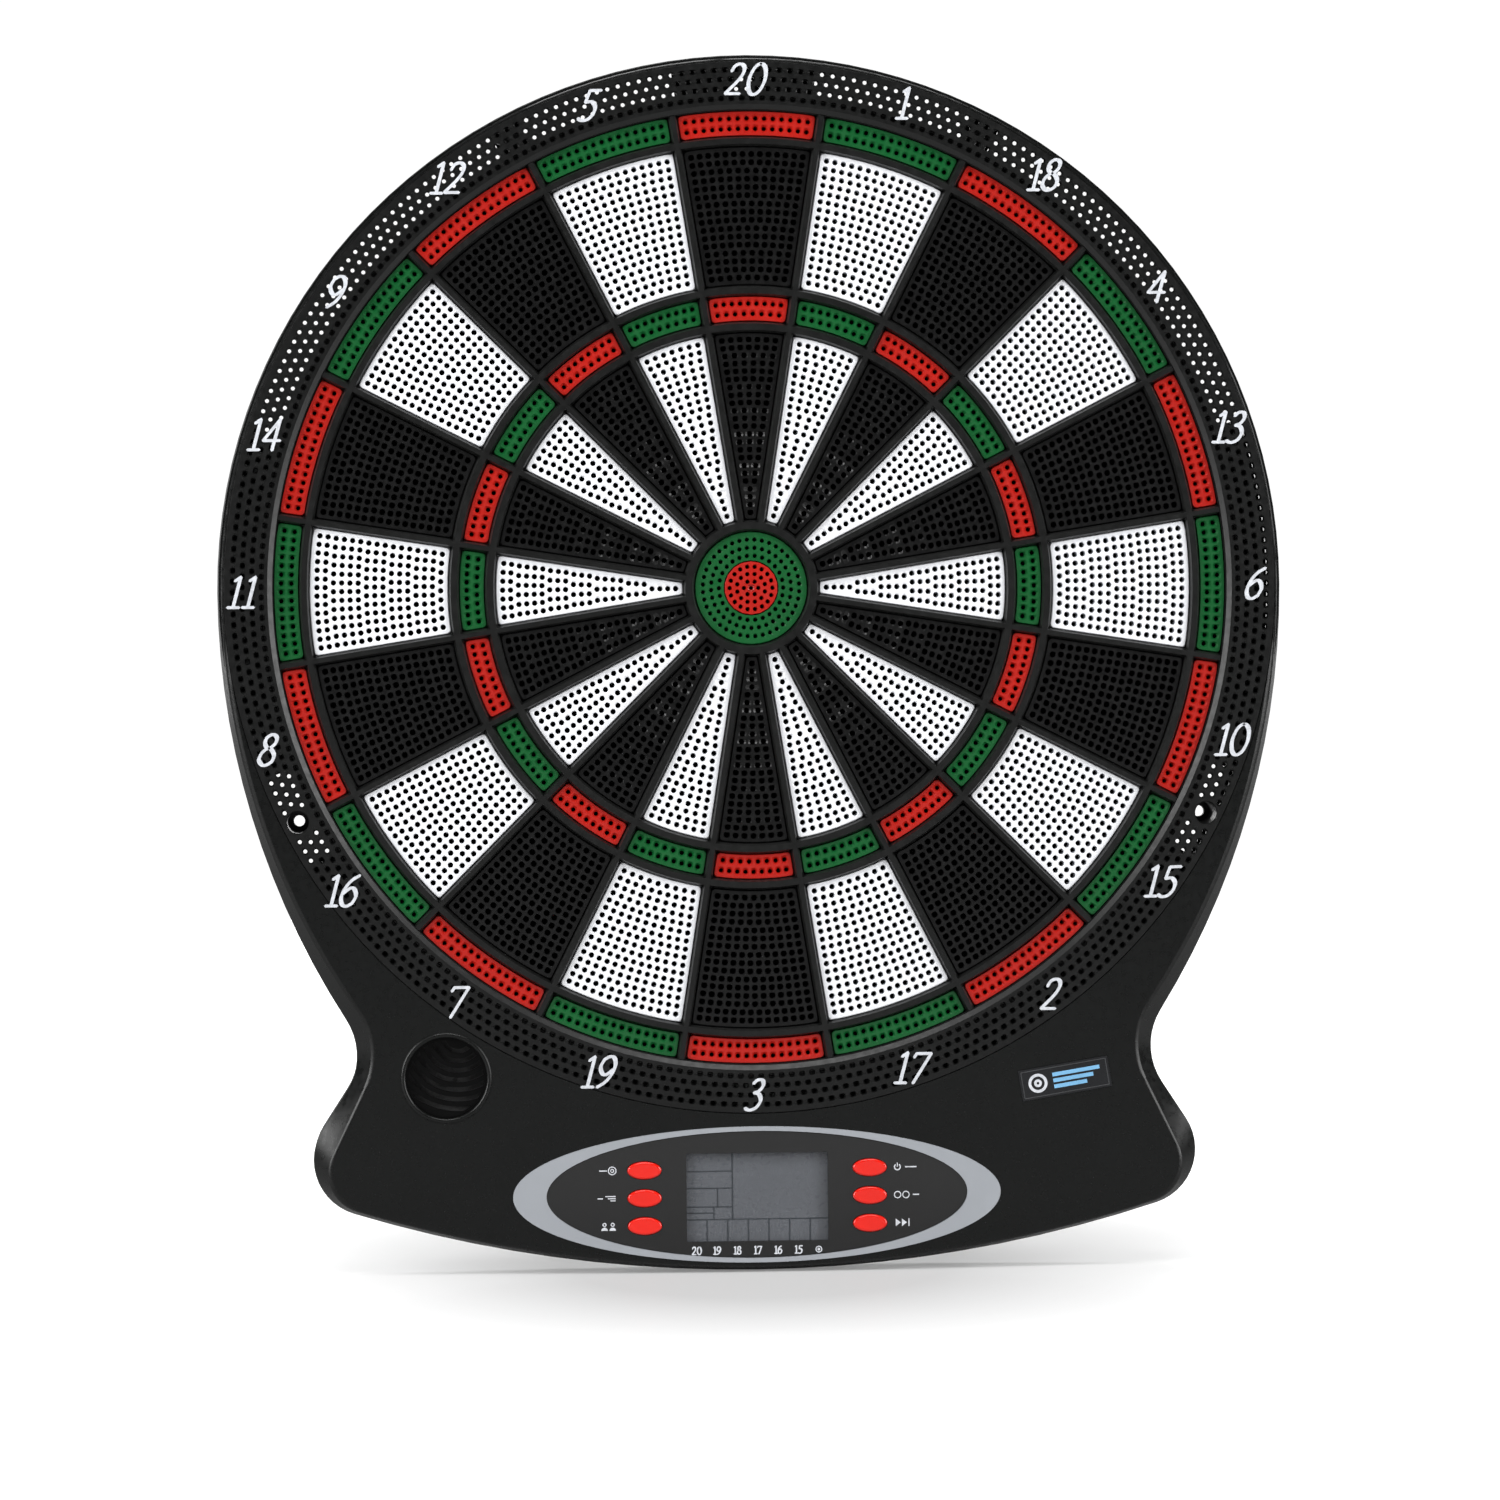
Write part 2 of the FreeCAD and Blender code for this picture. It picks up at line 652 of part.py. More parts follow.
def inner_bull():
    plug = disc(INNER_BULL_RADIUS, SEGMENT_Y, SEGMENT_BACK_Y)
    flange = disc(INNER_BULL_RADIUS + FLANGE_WIDTH + 0.2, INNER_FLANGE_Y, SEGMENT_BACK_Y)
    return fused([plug, flange]).cut(dart_holes(INNER_BULL_HOLES))


def backing_board():
    hole = SMALL_SCREW_RADIUS + 0.15
    holes = [disc(hole, BOARD_Y - 1, BOARD_BACK_Y + 1, x, z) for x, z in web_post_places()]
    return disc(BACKING_RADIUS, BOARD_Y, BOARD_BACK_Y).cut(holes)


def membrane_tail():
    """Flat film from the switch membrane down to the connector on the circuit board."""
    thickness = 0.3
    path = ((MEMBRANE_Y + 0.1, -MAT_RADIUS), (MEMBRANE_Y + 0.1, -226.0), (PCB_BACK_Y + 2.2, -235.0))
    front = [Vector(0, y, z) for y, z in path]
    back = [Vector(0, y + thickness, z) for y, z in reversed(path)]
    face = Part.Face(Part.makePolygon([*front, *back, front[0]]))
    face.translate(Vector(-10, 0, 0))
    return face.extrude(Vector(20, 0, 0))


# ---------------------------------------------------------------- console


def button_places():
    for side, names in zip((-1, 1), BUTTON_NAMES):
        for name, z in zip(names, BUTTON_Z):
            yield name, side * BUTTON_X, z


def console_trim():
    centre = (0.0, CONSOLE_Z)
    ring = oval((TRIM_OUTER[0] - 0.1, TRIM_OUTER[1] - 0.1), centre, FRONT_Y - TRIM_PROUD, TRIM_BACK_Y)
    return ring.cut(oval(TRIM_INNER, centre, FRONT_Y - 5, 0.0))


def console_panel():
    centre = (0.0, CONSOLE_Z)
    flange = oval(PANEL_FLANGE, centre, PANEL_FLANGE_Y, PANEL_BACK_Y)
    raised = oval(PANEL_RAISED, centre, PANEL_Y, PANEL_FLANGE_Y)
    bosses = [disc(PCB_BOSS_RADIUS, PANEL_BACK_Y, PCB_Y, x, z) for x, z in PCB_SCREWS]
    cutters = [
        centred_block(LCD_WINDOW, (0.0, LCD_Z), PANEL_Y - 1, 0.0),
        centred_block((LENS_SIZE[0] + 0.4, LENS_SIZE[1] + 0.4), (0.0, LCD_Z), LENS_Y, PANEL_BACK_Y + 1),
    ]
    hole = (BUTTON_SIZE[0] + BUTTON_CLEARANCE, BUTTON_SIZE[1] + BUTTON_CLEARANCE)
    cutters += [oval(hole, (x, z), PANEL_Y - 1, PANEL_BACK_Y + 1) for _, x, z in button_places()]
    cutters += [disc(SMALL_SCREW_RADIUS + SHANK_CLEARANCE, PCB_Y - 4.4, 0.0, x, z) for x, z in PCB_SCREWS]
    return fused([flange, raised, *bosses]).cut(cutters)


def button(x, z):
    """Oval cap with a flange behind the panel."""
    cap = oval(BUTTON_SIZE, (x, z), BUTTON_FRONT_Y, BUTTON_FLANGE_Y)
    rim = [e for e in cap.Edges if abs(e.CenterOfMass.y - BUTTON_FRONT_Y) < 1e-6]
    return fused([cap.makeFillet(0.9, rim), oval(BUTTON_FLANGE, (x, z), BUTTON_FLANGE_Y, BUTTON_BACK_Y)])


def keypad():
    """Two silicone mats, each with three domes under the buttons."""
    mats = []
    for side in (-1, 1):
        mat = centred_block((22.0, 40.0), (side * BUTTON_X, BUTTON_Z[1]), KEYPAD_Y, PCB_Y)
        domes = [
            revolved(
                ((0.0, KEY_DOME_Y), (2.6, KEY_DOME_Y), (4.2, KEYPAD_Y), (4.2, KEYPAD_Y + 0.5), (0.0, KEYPAD_Y + 0.5)),
                side * BUTTON_X,
                z,
            )
            for z in BUTTON_Z
        ]
        mats.append(fused([mat, *domes]))
    return Part.makeCompound(mats)


def lcd_lens():
    return centred_block(LENS_SIZE, (0.0, LCD_Z), LENS_Y, LENS_Y + LENS_THICKNESS)


def lcd_glass():
    return centred_block(GLASS_SIZE, (0.0, LCD_Z), GLASS_Y, GLASS_BACK_Y)


def lcd_frame():
    """Holder round the display glass, standing on the circuit board."""
    outer = centred_block((66.0, 44.0), (0.0, LCD_Z), PANEL_BACK_Y + 0.1, PCB_Y)
    window = centred_block((GLASS_SIZE[0] + 0.4, GLASS_SIZE[1] + 0.4), (0.0, LCD_Z), PANEL_BACK_Y - 1, PCB_Y + 1)
    return outer.cut(window)


def lcd_connectors():
    """Two elastomer strips that carry the display's contacts down to the board."""
    strips = [
        centred_block((56.0, 2.0), (0.0, LCD_Z + side * (GLASS_SIZE[1] / 2 - 1.4)), GLASS_BACK_Y, PCB_Y)
        for side in (-1, 1)
    ]
    return Part.makeCompound(strips)


def circuit_board():
    board = block((-PCB_HALF_WIDTH, PCB_HALF_WIDTH), PCB_Z, PCB_Y, PCB_BACK_Y)
    return board.cut([disc(SMALL_SCREW_RADIUS + 0.25, PCB_Y - 1, 0.0, x, z) for x, z in PCB_SCREWS])


def circuit_parts():
    """Components on the back of the board: the chip's resin blob, a driver, a capacitor and three connectors."""
    blob = revolved(
        ((0.0, PCB_BACK_Y), (9.0, PCB_BACK_Y), (8.2, PCB_BACK_Y + 1.2), (5.0, PCB_BACK_Y + 2.2), (0.0, PCB_BACK_Y + 2.6)),
        -22.0,
        -256.0,
    )
    driver = centred_block((14.0, 8.0), (22.0, -258.0), PCB_BACK_Y, PCB_BACK_Y + 2.2)
    capacitor = disc(3.2, PCB_BACK_Y, PCB_BACK_Y + 7.0, 44.0, -262.0)
    tail_socket = block((-12.0, 12.0), (-241.0, -235.0), PCB_BACK_Y, PCB_BACK_Y + 3.0)
    speaker_socket = centred_block((6.0, 7.0), (-56.0, -250.0), PCB_BACK_Y, PCB_BACK_Y + 4.5)
    battery_socket = centred_block((6.0, 7.0), (56.0, -250.0), PCB_BACK_Y, PCB_BACK_Y + 4.5)
    return Part.makeCompound([blob, driver, capacitor, tail_socket, speaker_socket, battery_socket])


# ---------------------------------------------------------------- speaker and power


def speaker_grille():
    """Round insert with curved louvre slots behind the speaker's mouth."""
    x, z = SPEAKER
    plate = disc(GRILLE_RADIUS, PLATE_BACK_Y, GRILLE_BACK_Y, x, z)
    field = disc(GRILLE_RADIUS - 2.4, PLATE_BACK_Y - 1, GRILLE_BACK_Y + 1, x, z)
    swing_x, swing_z = x + 5.0, z + 17.0
    half = LOUVRE_WIDTH / 2
    slots = [
        tube(radius + half, radius - half, PLATE_BACK_Y - 1, GRILLE_BACK_Y + 1, swing_x, swing_z).common(field)
        for radius in (6.0, 10.0, 14.0, 18.0, 22.0, 26.0, 30.0)
    ]
    return plate.cut(slots)


def speaker():
    """Basket and magnet, open at the front for the cone, with a strip of solder tags at one side."""
    profile = (
        (16.2, GRILLE_BACK_Y + 0.2),
        (18.0, GRILLE_BACK_Y + 0.2),
        (18.0, -21.4),
        (16.6, -21.4),
        (11.0, -16.2),
        (9.0, -16.2),
        (9.0, -11.4),
        (0.0, -11.4),
        (0.0, -17.4),
        (9.6, -17.4),
        (16.2, -22.6),
    )
    x, z = SPEAKER
    tags = block((x + 8.5, x + 13.0), (z - 5.0, z + 2.0), -16.8, -15.2)
    return fused([revolved(profile, x, z), tags])


def speaker_cone():
    """Paper cone with its dust cap."""
    profile = (
        (0.0, -21.6),
        (3.0, -21.2),
        (4.4, -20.0),
        (13.4, -23.0),
        (15.8, -23.6),
        (15.8, -23.1),
        (13.4, -22.4),
        (4.4, -19.3),
        (0.0, -19.3),
    )
    return revolved(profile, *SPEAKER)


def cell_rows():
    """For each cell its z, the x where its spring starts and the direction that its positive end points in."""
    for i in (1, 0, -1):
        forward = i != 0
        start = BAY_X[0] + CELL_SLACK if forward else BAY_X[1] - CELL_SLACK
        yield at(start, CELL_MIDDLE_Z + i * CELL_PITCH, CELL_Y), Vector(1 if forward else -1, 0, 0)


def batteries():
    cells = []
    for start, axis in cell_rows():
        flat_end = start + axis * (SPRING_LENGTH + CELL_SLACK)
        can = Part.makeCylinder(CELL_RADIUS, CELL_LENGTH, flat_end, axis)
        nub = Part.makeCylinder(NUB_RADIUS, NUB_LENGTH, flat_end + axis * CELL_LENGTH, axis)
        cells.append(can.fuse(nub).removeSplitter())
    return Part.makeCompound(cells)


def battery_contacts():
    """Square plates at the positive ends of the cells."""
    reach = SPRING_LENGTH + CELL_LENGTH + NUB_LENGTH + 2 * CELL_SLACK
    plates = []
    for start, axis in cell_rows():
        near = start + axis * reach
        far = near + axis * CONTACT_THICKNESS
        plates.append(block(sorted((near.x, far.x)), (start.z - 5.0, start.z + 5.0), CELL_Y - 5.0, CELL_Y + 5.0))
    return Part.makeCompound(plates)


def battery_springs():
    """Tapered springs at the flat ends, drawn as the space that each coil fills."""
    return Part.makeCompound([Part.makeCone(5.0, 3.0, SPRING_LENGTH, start, axis) for start, axis in cell_rows()])


def lead(points, radius):
    """A round lead of straight runs joined by tangent arcs, each 0.45 of its shorter run back from the corner."""
    corners = [Vector(*p) for p in points]
    edges, last = [], corners[0]
    for before, here, after in zip(corners, corners[1:], corners[2:]):
        into, out = (here - before), (after - here)
        cut = 0.45 * min(into.Length, out.Length)
        start = here - into.normalize() * cut
        end = here + out.normalize() * cut
        half_turn = into.getAngle(out) / 2
        arc_radius = cut / math.tan(half_turn)
        inward = (out - into).normalize()
        middle = here + inward * (arc_radius / math.cos(half_turn) - arc_radius)
        edges += [Part.makeLine(last, start), Part.Arc(start, middle, end).toShape()]
        last = end
    edges.append(Part.makeLine(last, corners[-1]))
    path = Part.Wire(edges)
    ring = Part.Wire(Part.Circle(corners[0], corners[1] - corners[0], radius).toShape())
    return path.makePipeShell([ring], True, True)


def speaker_leads():
    """The pair from the speaker's tags to its socket."""
    pair = []
    for drop, back in ((0.0, 0.0), (3.0, 0.8)):
        points = (
            (-115.7, -16.0, -203.6 - drop),
            (-106.0, -13.6 + back, -207.0 - drop),
            (-92.0, -12.6 + back, -222.0 - drop),
            (-76.0, -13.0 + back, -238.0 - drop),
            (-66.0, -15.0, -246.6 - drop),
            (-59.1, -15.4, -248.4 - drop),
        )
        pair.append(lead(points, LEAD_RADIUS))
    return Part.makeCompound(pair)


def battery_leads():
    """The pair from the bay's end contacts, out through its wall, to its socket."""
    pair = []
    for drop, back in ((0.0, 0.0), (3.0, 1.4)):
        points = (
            (75.7, -12.8 + back, -222.2 - drop / 2),
            (70.0, -13.0 + back, -223.6 - drop / 2),
            (66.0, -13.2 + back, -231.0 - drop),
            (65.0, -14.6 + back / 2, -241.0 - drop),
            (63.6, -15.4, -247.6 - drop),
            (59.1, -15.4, -248.4 - drop),
        )
        pair.append(lead(points, LEAD_RADIUS))
    return Part.makeCompound(pair)


# ---------------------------------------------------------------- fasteners


def cover_screws():
    places = [*ring_screw_places(), *CONSOLE_SCREWS]
    return Part.makeCompound([screw(x, z, -0.2, SCREW_RADIUS, HEAD_RADIUS, SCREW_LENGTH) for x, z in places])


def small_screws(places, plate_back_y, length):
    head_y = plate_back_y + HEAD_HEIGHT
    return Part.makeCompound([screw(x, z, head_y, SMALL_SCREW_RADIUS, SMALL_HEAD_RADIUS, length) for x, z in places])


def nodes():
    """Every sub-part by name."""
    parts = {
        "front_housing": front_housing(),
        "catch_ring": catch_ring(),
        "wall_screw_sleeves": wall_screw_sleeves(),
        "rear_cover": rear_cover(),
        "battery_door": battery_door(),
        "badge_plate": badge_plate(),
        "web": web(),
        "outer_bull": outer_bull(),
        "inner_bull": inner_bull(),
        "rubber_mat": disc(MAT_RADIUS, MAT_Y, MEMBRANE_Y),
        "switch_membrane": disc(MAT_RADIUS, MEMBRANE_Y, FOAM_Y),
        "membrane_tail": membrane_tail(),
        "foam_pad": disc(MAT_RADIUS, FOAM_Y, BOARD_Y),
        "backing_board": backing_board(),
        "console_panel": console_panel(),
        "console_trim": console_trim(),
        "keypad": keypad(),
        "lcd_lens": lcd_lens(),
        "lcd_glass": lcd_glass(),
        "lcd_frame": lcd_frame(),
        "lcd_connectors": lcd_connectors(),
        "circuit_board": circuit_board(),
        "circuit_parts": circuit_parts(),
        "speaker_grille": speaker_grille(),
        "speaker": speaker(),
        "speaker_cone": speaker_cone(),
        "speaker_leads": speaker_leads(),
        "batteries": batteries(),
        "battery_contacts": battery_contacts(),
        "battery_springs": battery_springs(),
        "battery_leads": battery_leads(),
        "cover_screws": cover_screws(),
        "board_screws": small_screws(web_post_places(), BOARD_BACK_Y, 9.0),
        "circuit_screws": small_screws(PCB_SCREWS, PCB_BACK_Y, 5.0),
    }
    for name, x, z in button_places():
        parts[f"{name}_button"] = button(x, z)
    for step, number in enumerate(NUMBERS):
        parts[f"segments_{number:02d}"] = number_segments(step)
    return parts


def main():
    os.makedirs("parts", exist_ok=True)
    for name, shape in nodes().items():
        shape.exportStep(f"parts/{name}.step")
        state = "valid" if shape.isValid() else "INVALID"
        print(f"{name}: {len(shape.Solids)} solids, {shape.Volume / 1000:.1f} cm3, {state}")


main()
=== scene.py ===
"""Looks of the electronic dartboard: perforated segments and number ring, print, materials, studio and camera.

Lengths in this script are millimetres until a mesh is made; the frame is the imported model's: +Z up, the front
faces -Y, and the origin is on the bull's axis in the wall plane. Clock angles are degrees clockwise from the top.
"""

import json
import math
from fractions import Fraction

import bmesh
import bpy
from mathutils import Matrix, Vector


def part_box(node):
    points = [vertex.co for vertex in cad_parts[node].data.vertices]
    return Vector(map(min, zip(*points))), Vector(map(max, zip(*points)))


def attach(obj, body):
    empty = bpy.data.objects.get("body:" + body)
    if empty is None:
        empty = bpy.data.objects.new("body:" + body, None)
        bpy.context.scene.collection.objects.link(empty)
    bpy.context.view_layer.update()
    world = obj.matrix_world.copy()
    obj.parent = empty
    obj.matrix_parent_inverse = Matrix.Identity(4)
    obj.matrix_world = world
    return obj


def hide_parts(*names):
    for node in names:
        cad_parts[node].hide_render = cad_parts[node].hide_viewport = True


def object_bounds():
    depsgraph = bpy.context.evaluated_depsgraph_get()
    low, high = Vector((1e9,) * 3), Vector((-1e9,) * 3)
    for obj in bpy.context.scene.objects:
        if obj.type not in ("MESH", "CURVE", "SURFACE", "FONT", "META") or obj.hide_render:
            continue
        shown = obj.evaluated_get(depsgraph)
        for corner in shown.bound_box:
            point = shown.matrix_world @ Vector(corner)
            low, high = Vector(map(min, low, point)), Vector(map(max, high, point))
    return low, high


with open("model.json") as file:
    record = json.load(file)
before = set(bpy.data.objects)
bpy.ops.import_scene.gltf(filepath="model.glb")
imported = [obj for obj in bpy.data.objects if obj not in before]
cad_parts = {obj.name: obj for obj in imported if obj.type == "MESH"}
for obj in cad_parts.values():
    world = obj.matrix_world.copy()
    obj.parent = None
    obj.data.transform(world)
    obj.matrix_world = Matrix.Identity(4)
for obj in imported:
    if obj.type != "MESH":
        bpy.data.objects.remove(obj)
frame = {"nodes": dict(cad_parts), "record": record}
CAD_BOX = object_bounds()
NODES = frame["nodes"]
BOARD = "board"
MM = 0.001


def node_box(name):
    """The lowest and highest corner of a CAD node, in millimetres."""
    low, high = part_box(name)
    return low / MM, high / MM


# Target layout
NUMBERS = (20, 1, 18, 4, 13, 6, 10, 15, 2, 17, 3, 19, 7, 16, 8, 11, 14, 9, 12, 5)
# Half of a number's angle, and half of the gap between two neighbours
HALF_WEDGE = 9.0
HALF_GAP = 2.2
FLANGE_WIDTH = 1.0
FLANGE_THICKNESS = 2.0
INNER_BULL_FLANGE = 1.2
EDGE_ROUNDING = 0.25
# Rounded corners of a segment: their reach, the most of an edge that one may take, the points on each and how far
# those spread over the outline's keys
CORNER_ROUNDING = 1.6
CORNER_SHARE = 0.42
CORNER_POINTS = 5
CORNER_SPREAD = 0.004
# Holes: land round each cell, radius at the funnel's foot and depth of the funnel
NARROW_HOLES = (0.42, 1.18, 0.45)
WIDE_HOLES = (0.36, 0.94, 1.0)
BULL_HOLES = (0.5, 0.88, 0.4)
RING_PLATE_HOLES = (0.8, 0.86, 1.3)
HOLE_SIDES = 10
LEAST_FUNNEL = 0.05
# Exponent that makes the funnel's lip a rounded square: 1 gives an ellipse and 0 a square
SQUARENESS = 0.6
# For each ring: inner and outer radius, rows of dart holes, row pitch, hole pitch and kind of hole
RINGS = {
    "double": (188.1, 198.1, 2, 4.3, 3.45, WIDE_HOLES),
    "outer_single": (126.2, 183.3, 16, 3.42, 3.45, NARROW_HOLES),
    "triple": (111.2, 121.2, 2, 4.3, 3.3, WIDE_HOLES),
    "inner_single": (28.7, 106.1, 23, 3.27, 3.45, NARROW_HOLES),
}
# From a segment's sides to its dart holes' cells
SIDE_MARGIN = 1.0
# Rows of the bulls as radius and number of holes, and how far their grids stay from the edges
INNER_BULL_ROWS = ((3.0, 6), (5.95, 12), (8.9, 18))
OUTER_BULL_ROWS = ((13.3, 26), (16.7, 33), (20.1, 40))
BULL_GAP = 0.4
BULL_BORE_ROUNDING = 0.1
BULL_BORE_MARGIN = 0.3
OUTER_BULL_MARGIN = 1.5
INNER_BULL_MARGIN = 0.7

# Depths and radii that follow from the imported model
SEGMENT_LOW, SEGMENT_HIGH = node_box("segments_20")
SEGMENT_Y, SEGMENT_BACK_Y = SEGMENT_LOW.y, SEGMENT_HIGH.y
FLANGE_Y = SEGMENT_BACK_Y - FLANGE_THICKNESS
OUTER_BULL_RADIUS = node_box("outer_bull")[1].x - FLANGE_WIDTH
INNER_BULL_RADIUS = node_box("inner_bull")[1].x - INNER_BULL_FLANGE
RING_LOW, RING_HIGH = node_box("catch_ring")
FRONT_Y, RING_RADIUS = RING_LOW.y, RING_HIGH.x
PANEL_Y = node_box("console_panel")[0].y
GLASS_LOW, GLASS_HIGH = node_box("lcd_glass")
BADGE_LOW, BADGE_HIGH = node_box("badge_plate")

# Number ring
PLATE_BACK_Y = FRONT_Y + 2.4
CHAMFER_RADII = (198.8, 200.8)
CHAMFER_Y = FRONT_Y + 1.2
RING_EDGE_ROUNDING = 0.3
RING_ROWS = (203.3, 207.25, 211.2, 215.15)
RING_ROW_PITCH = 3.95
RING_HOLES = 300
RING_SCREW_CIRCLE = 211.6
RING_SCREW_ANGLES = (27.5, 76.0, 98.0, 140.0, 163.0, 197.0, 220.0, 262.0, 284.0, 332.5)
WALL_SCREW_CIRCLE = 212.0
WALL_SCREW_ANGLES = (116.8, -116.8)
SLEEVE_RADIUS = 5.55
SLEEVE_LAND = 0.7
SLEEVE_SIDES = 48
DRILL_OVERSHOOT = 1.0
SKIRT_RADII = (203.6, 205.6)
SKIRT_CLEARANCE = 2.6
SKIRT_SIDES = 360
SKIRT_SMOOTH_ANGLE = 40
BOSS_RADII = (1.35, 3.0)
BOSS_END_Y = -2.4
BOSS_SIDES = 32
# The bumps beside the ring's holes: radius and y of the foot, then of the top
BUMP_SIDES = 8
BUMP_LEVELS = ((0.75, FRONT_Y + 0.1), (0.5, FRONT_Y - 0.25))

# Numerals and print: their circle and height, the y of their front and back, the print's rise off its face, and the
# hairline that keeps surfaces from sharing a plane
NUMERAL_CIRCLE = 211.0
NUMERAL_HEIGHT = 12.9
NUMERAL_LEVELS = (FRONT_Y - 0.5, FRONT_Y - 0.02)
PRINT_THICKNESS = 0.08
PRINT_GAP = 0.01

# Studio: brightness of the surround as seen and as it lights the object, and the glow of the floor between two
# distances in metres, where distances to the sides count for more; the weak glow near the object is painted shade
# round its foot
SURROUND_SEEN = 1.05
SURROUND_LIT = 0.08
FLOOR_GLOW = (0.2, 1.05)
FLOOR_REACH = (0.12, 0.5)
FLOOR_SPREAD = (1.5, 1.0, 1.0)
FLOOR_HALF_SIZE = 9.0
FLOOR_DROP = 0.0005
# Soft boxes, all aimed at one point: place and size in metres, and power in watts
LIGHT_AIM = (0.0, 0.0, -0.03)
LIGHTS = {
    "left": ((-1.75, -1.1, 0.55), (1.1, 1.4), 38.0),
    "right": ((1.75, -1.15, 0.4), (1.1, 1.4), 34.0),
    "top": ((0.0, -1.2, 1.9), (1.6, 0.8), 26.0),
    "behind": ((0.0, 1.0, 1.7), (1.6, 0.8), 18.0),
    "rear_left": ((1.9, 1.5, 0.3), (1.0, 1.4), 9.0),
    "rear_right": ((-1.9, 1.5, 0.3), (1.0, 1.4), 9.0),
    "rear": ((0.0, 3.0, 0.0), (0.9, 0.9), 9.0),
}
# Camera: distance, width of the view and aim in metres, and its angles in degrees
CAMERA_DISTANCE = 2.4
VIEW_WIDTH = 0.624
VIEW_AZIMUTH, VIEW_ELEVATION, VIEW_LEAN = -2.9, 1.2, 0.55
CAMERA_AIM = (-0.0013, FRONT_Y * MM, -0.0674)


# ---------------------------------------------------------------- materials


def shader(name):
    """A new material, its node tree, its Principled shader and the coordinates of the object that wears it."""
    mat = bpy.data.materials.new(name)
    mat.use_nodes = True
    tree = mat.node_tree
    bsdf = tree.nodes["Principled BSDF"]
    place = tree.nodes.new("ShaderNodeTexCoord")
    return mat, tree, bsdf, place.outputs["Object"]


def noise(tree, place, scale, detail=2.0):
    """Fractal noise with a value round 0.5."""
    node = tree.nodes.new("ShaderNodeTexNoise")
    node.inputs["Scale"].default_value = scale
    node.inputs["Detail"].default_value = detail
    tree.links.new(place, node.inputs["Vector"])
    return node.outputs["Fac"]


def remap(tree, value, low, high, from_low=0.3, from_high=0.7):
    """The value carried from one range to another and held inside it."""
    node = tree.nodes.new("ShaderNodeMapRange")
    node.inputs["From Min"].default_value = from_low
    node.inputs["From Max"].default_value = from_high
    node.inputs["To Min"].default_value = low
    node.inputs["To Max"].default_value = high
    tree.links.new(value, node.inputs["Value"])
    return node.outputs["Result"]


def blend_colours(tree, factor, first, second):
    """A colour between the two, by the factor."""
    node = tree.nodes.new("ShaderNodeMix")
    node.data_type = "RGBA"
    colours = [s for s in node.inputs if s.type == "RGBA"]
    colours[0].default_value = (*first, 1.0)
    colours[1].default_value = (*second, 1.0)
    tree.links.new(factor, node.inputs["Factor"])
    return next(s for s in node.outputs if s.type == "RGBA")


def bump(tree, bsdf, heights, distance, strength):
    """Fine relief on the shader's surface."""
    node = tree.nodes.new("ShaderNodeBump")
    node.inputs["Distance"].default_value = distance
    node.inputs["Strength"].default_value = strength
    tree.links.new(heights, node.inputs["Height"])
    tree.links.new(node.outputs["Normal"], bsdf.inputs["Normal"])


def moulded(
    name,
    colour,
    roughness,
    spread=0.12,
    mottle=0.1,
    mottle_scale=60.0,
    grain_scale=2200.0,
    grain_depth=0.00003,
    grain_strength=0.35,
    metallic=0.0,
    coat=0.0,
    specular=0.5,
    alpha=1.0,
):
    """Moulded or painted material: slow colour drift, uneven gloss and a fine grain."""
    mat, tree, bsdf, place = shader(name)
    drift = remap(tree, noise(tree, place, mottle_scale, 4.0), 0.0, 1.0)
    dark = tuple(c * (1.0 - mottle) for c in colour)
    light = tuple(min(1.0, c * (1.0 + mottle)) for c in colour)
    tree.links.new(blend_colours(tree, drift, dark, light), bsdf.inputs["Base Color"])
    wear = noise(tree, place, mottle_scale * 6.0, 3.0)
    tree.links.new(remap(tree, wear, roughness - spread / 2, roughness + spread / 2), bsdf.inputs["Roughness"])
    bump(tree, bsdf, noise(tree, place, grain_scale, 2.0), grain_depth, grain_strength)
    bsdf.inputs["Metallic"].default_value = metallic
    bsdf.inputs["Coat Weight"].default_value = coat
    bsdf.inputs["Coat Roughness"].default_value = 0.05
    bsdf.inputs["Specular IOR Level"].default_value = specular
    bsdf.inputs["Alpha"].default_value = alpha
    return mat


def floor_material():
    """Pale floor whose camera-only glow is weak near the object and grows away from it, faster to the sides: painted
    shade round the board's foot, added to the real shadow there, and a floor that meets the surround without an edge.
    """
    mat, tree, bsdf, place = shader("floor_pale")
    spread = tree.nodes.new("ShaderNodeVectorMath")
    spread.operation = "MULTIPLY"
    spread.inputs[1].default_value = FLOOR_SPREAD
    tree.links.new(place, spread.inputs[0])
    centred = tree.nodes.new("ShaderNodeVectorMath")
    centred.operation = "LENGTH"
    tree.links.new(spread.outputs["Vector"], centred.inputs[0])
    # Painted shade: the glow is least near the board, so the floor round its foot looks darker than the lamps alone
    # make it
    glow = remap(tree, centred.outputs["Value"], *FLOOR_GLOW, *FLOOR_REACH)
    seen = tree.nodes.new("ShaderNodeMath")
    seen.operation = "MULTIPLY"
    tree.links.new(glow, seen.inputs[0])
    tree.links.new(tree.nodes.new("ShaderNodeLightPath").outputs["Is Camera Ray"], seen.inputs[1])
    tree.links.new(seen.outputs["Value"], bsdf.inputs["Emission Strength"])
    bsdf.inputs["Emission Color"].default_value = (1.0, 1.0, 1.0, 1.0)
    shade = remap(tree, noise(tree, place, 3.0), 0.0, 1.0)
    tree.links.new(blend_colours(tree, shade, (0.5, 0.5, 0.5), (0.52, 0.52, 0.52)), bsdf.inputs["Base Color"])
    bsdf.inputs["Roughness"].default_value = 0.6
    bsdf.inputs["Specular IOR Level"].default_value = 0.1
    return mat


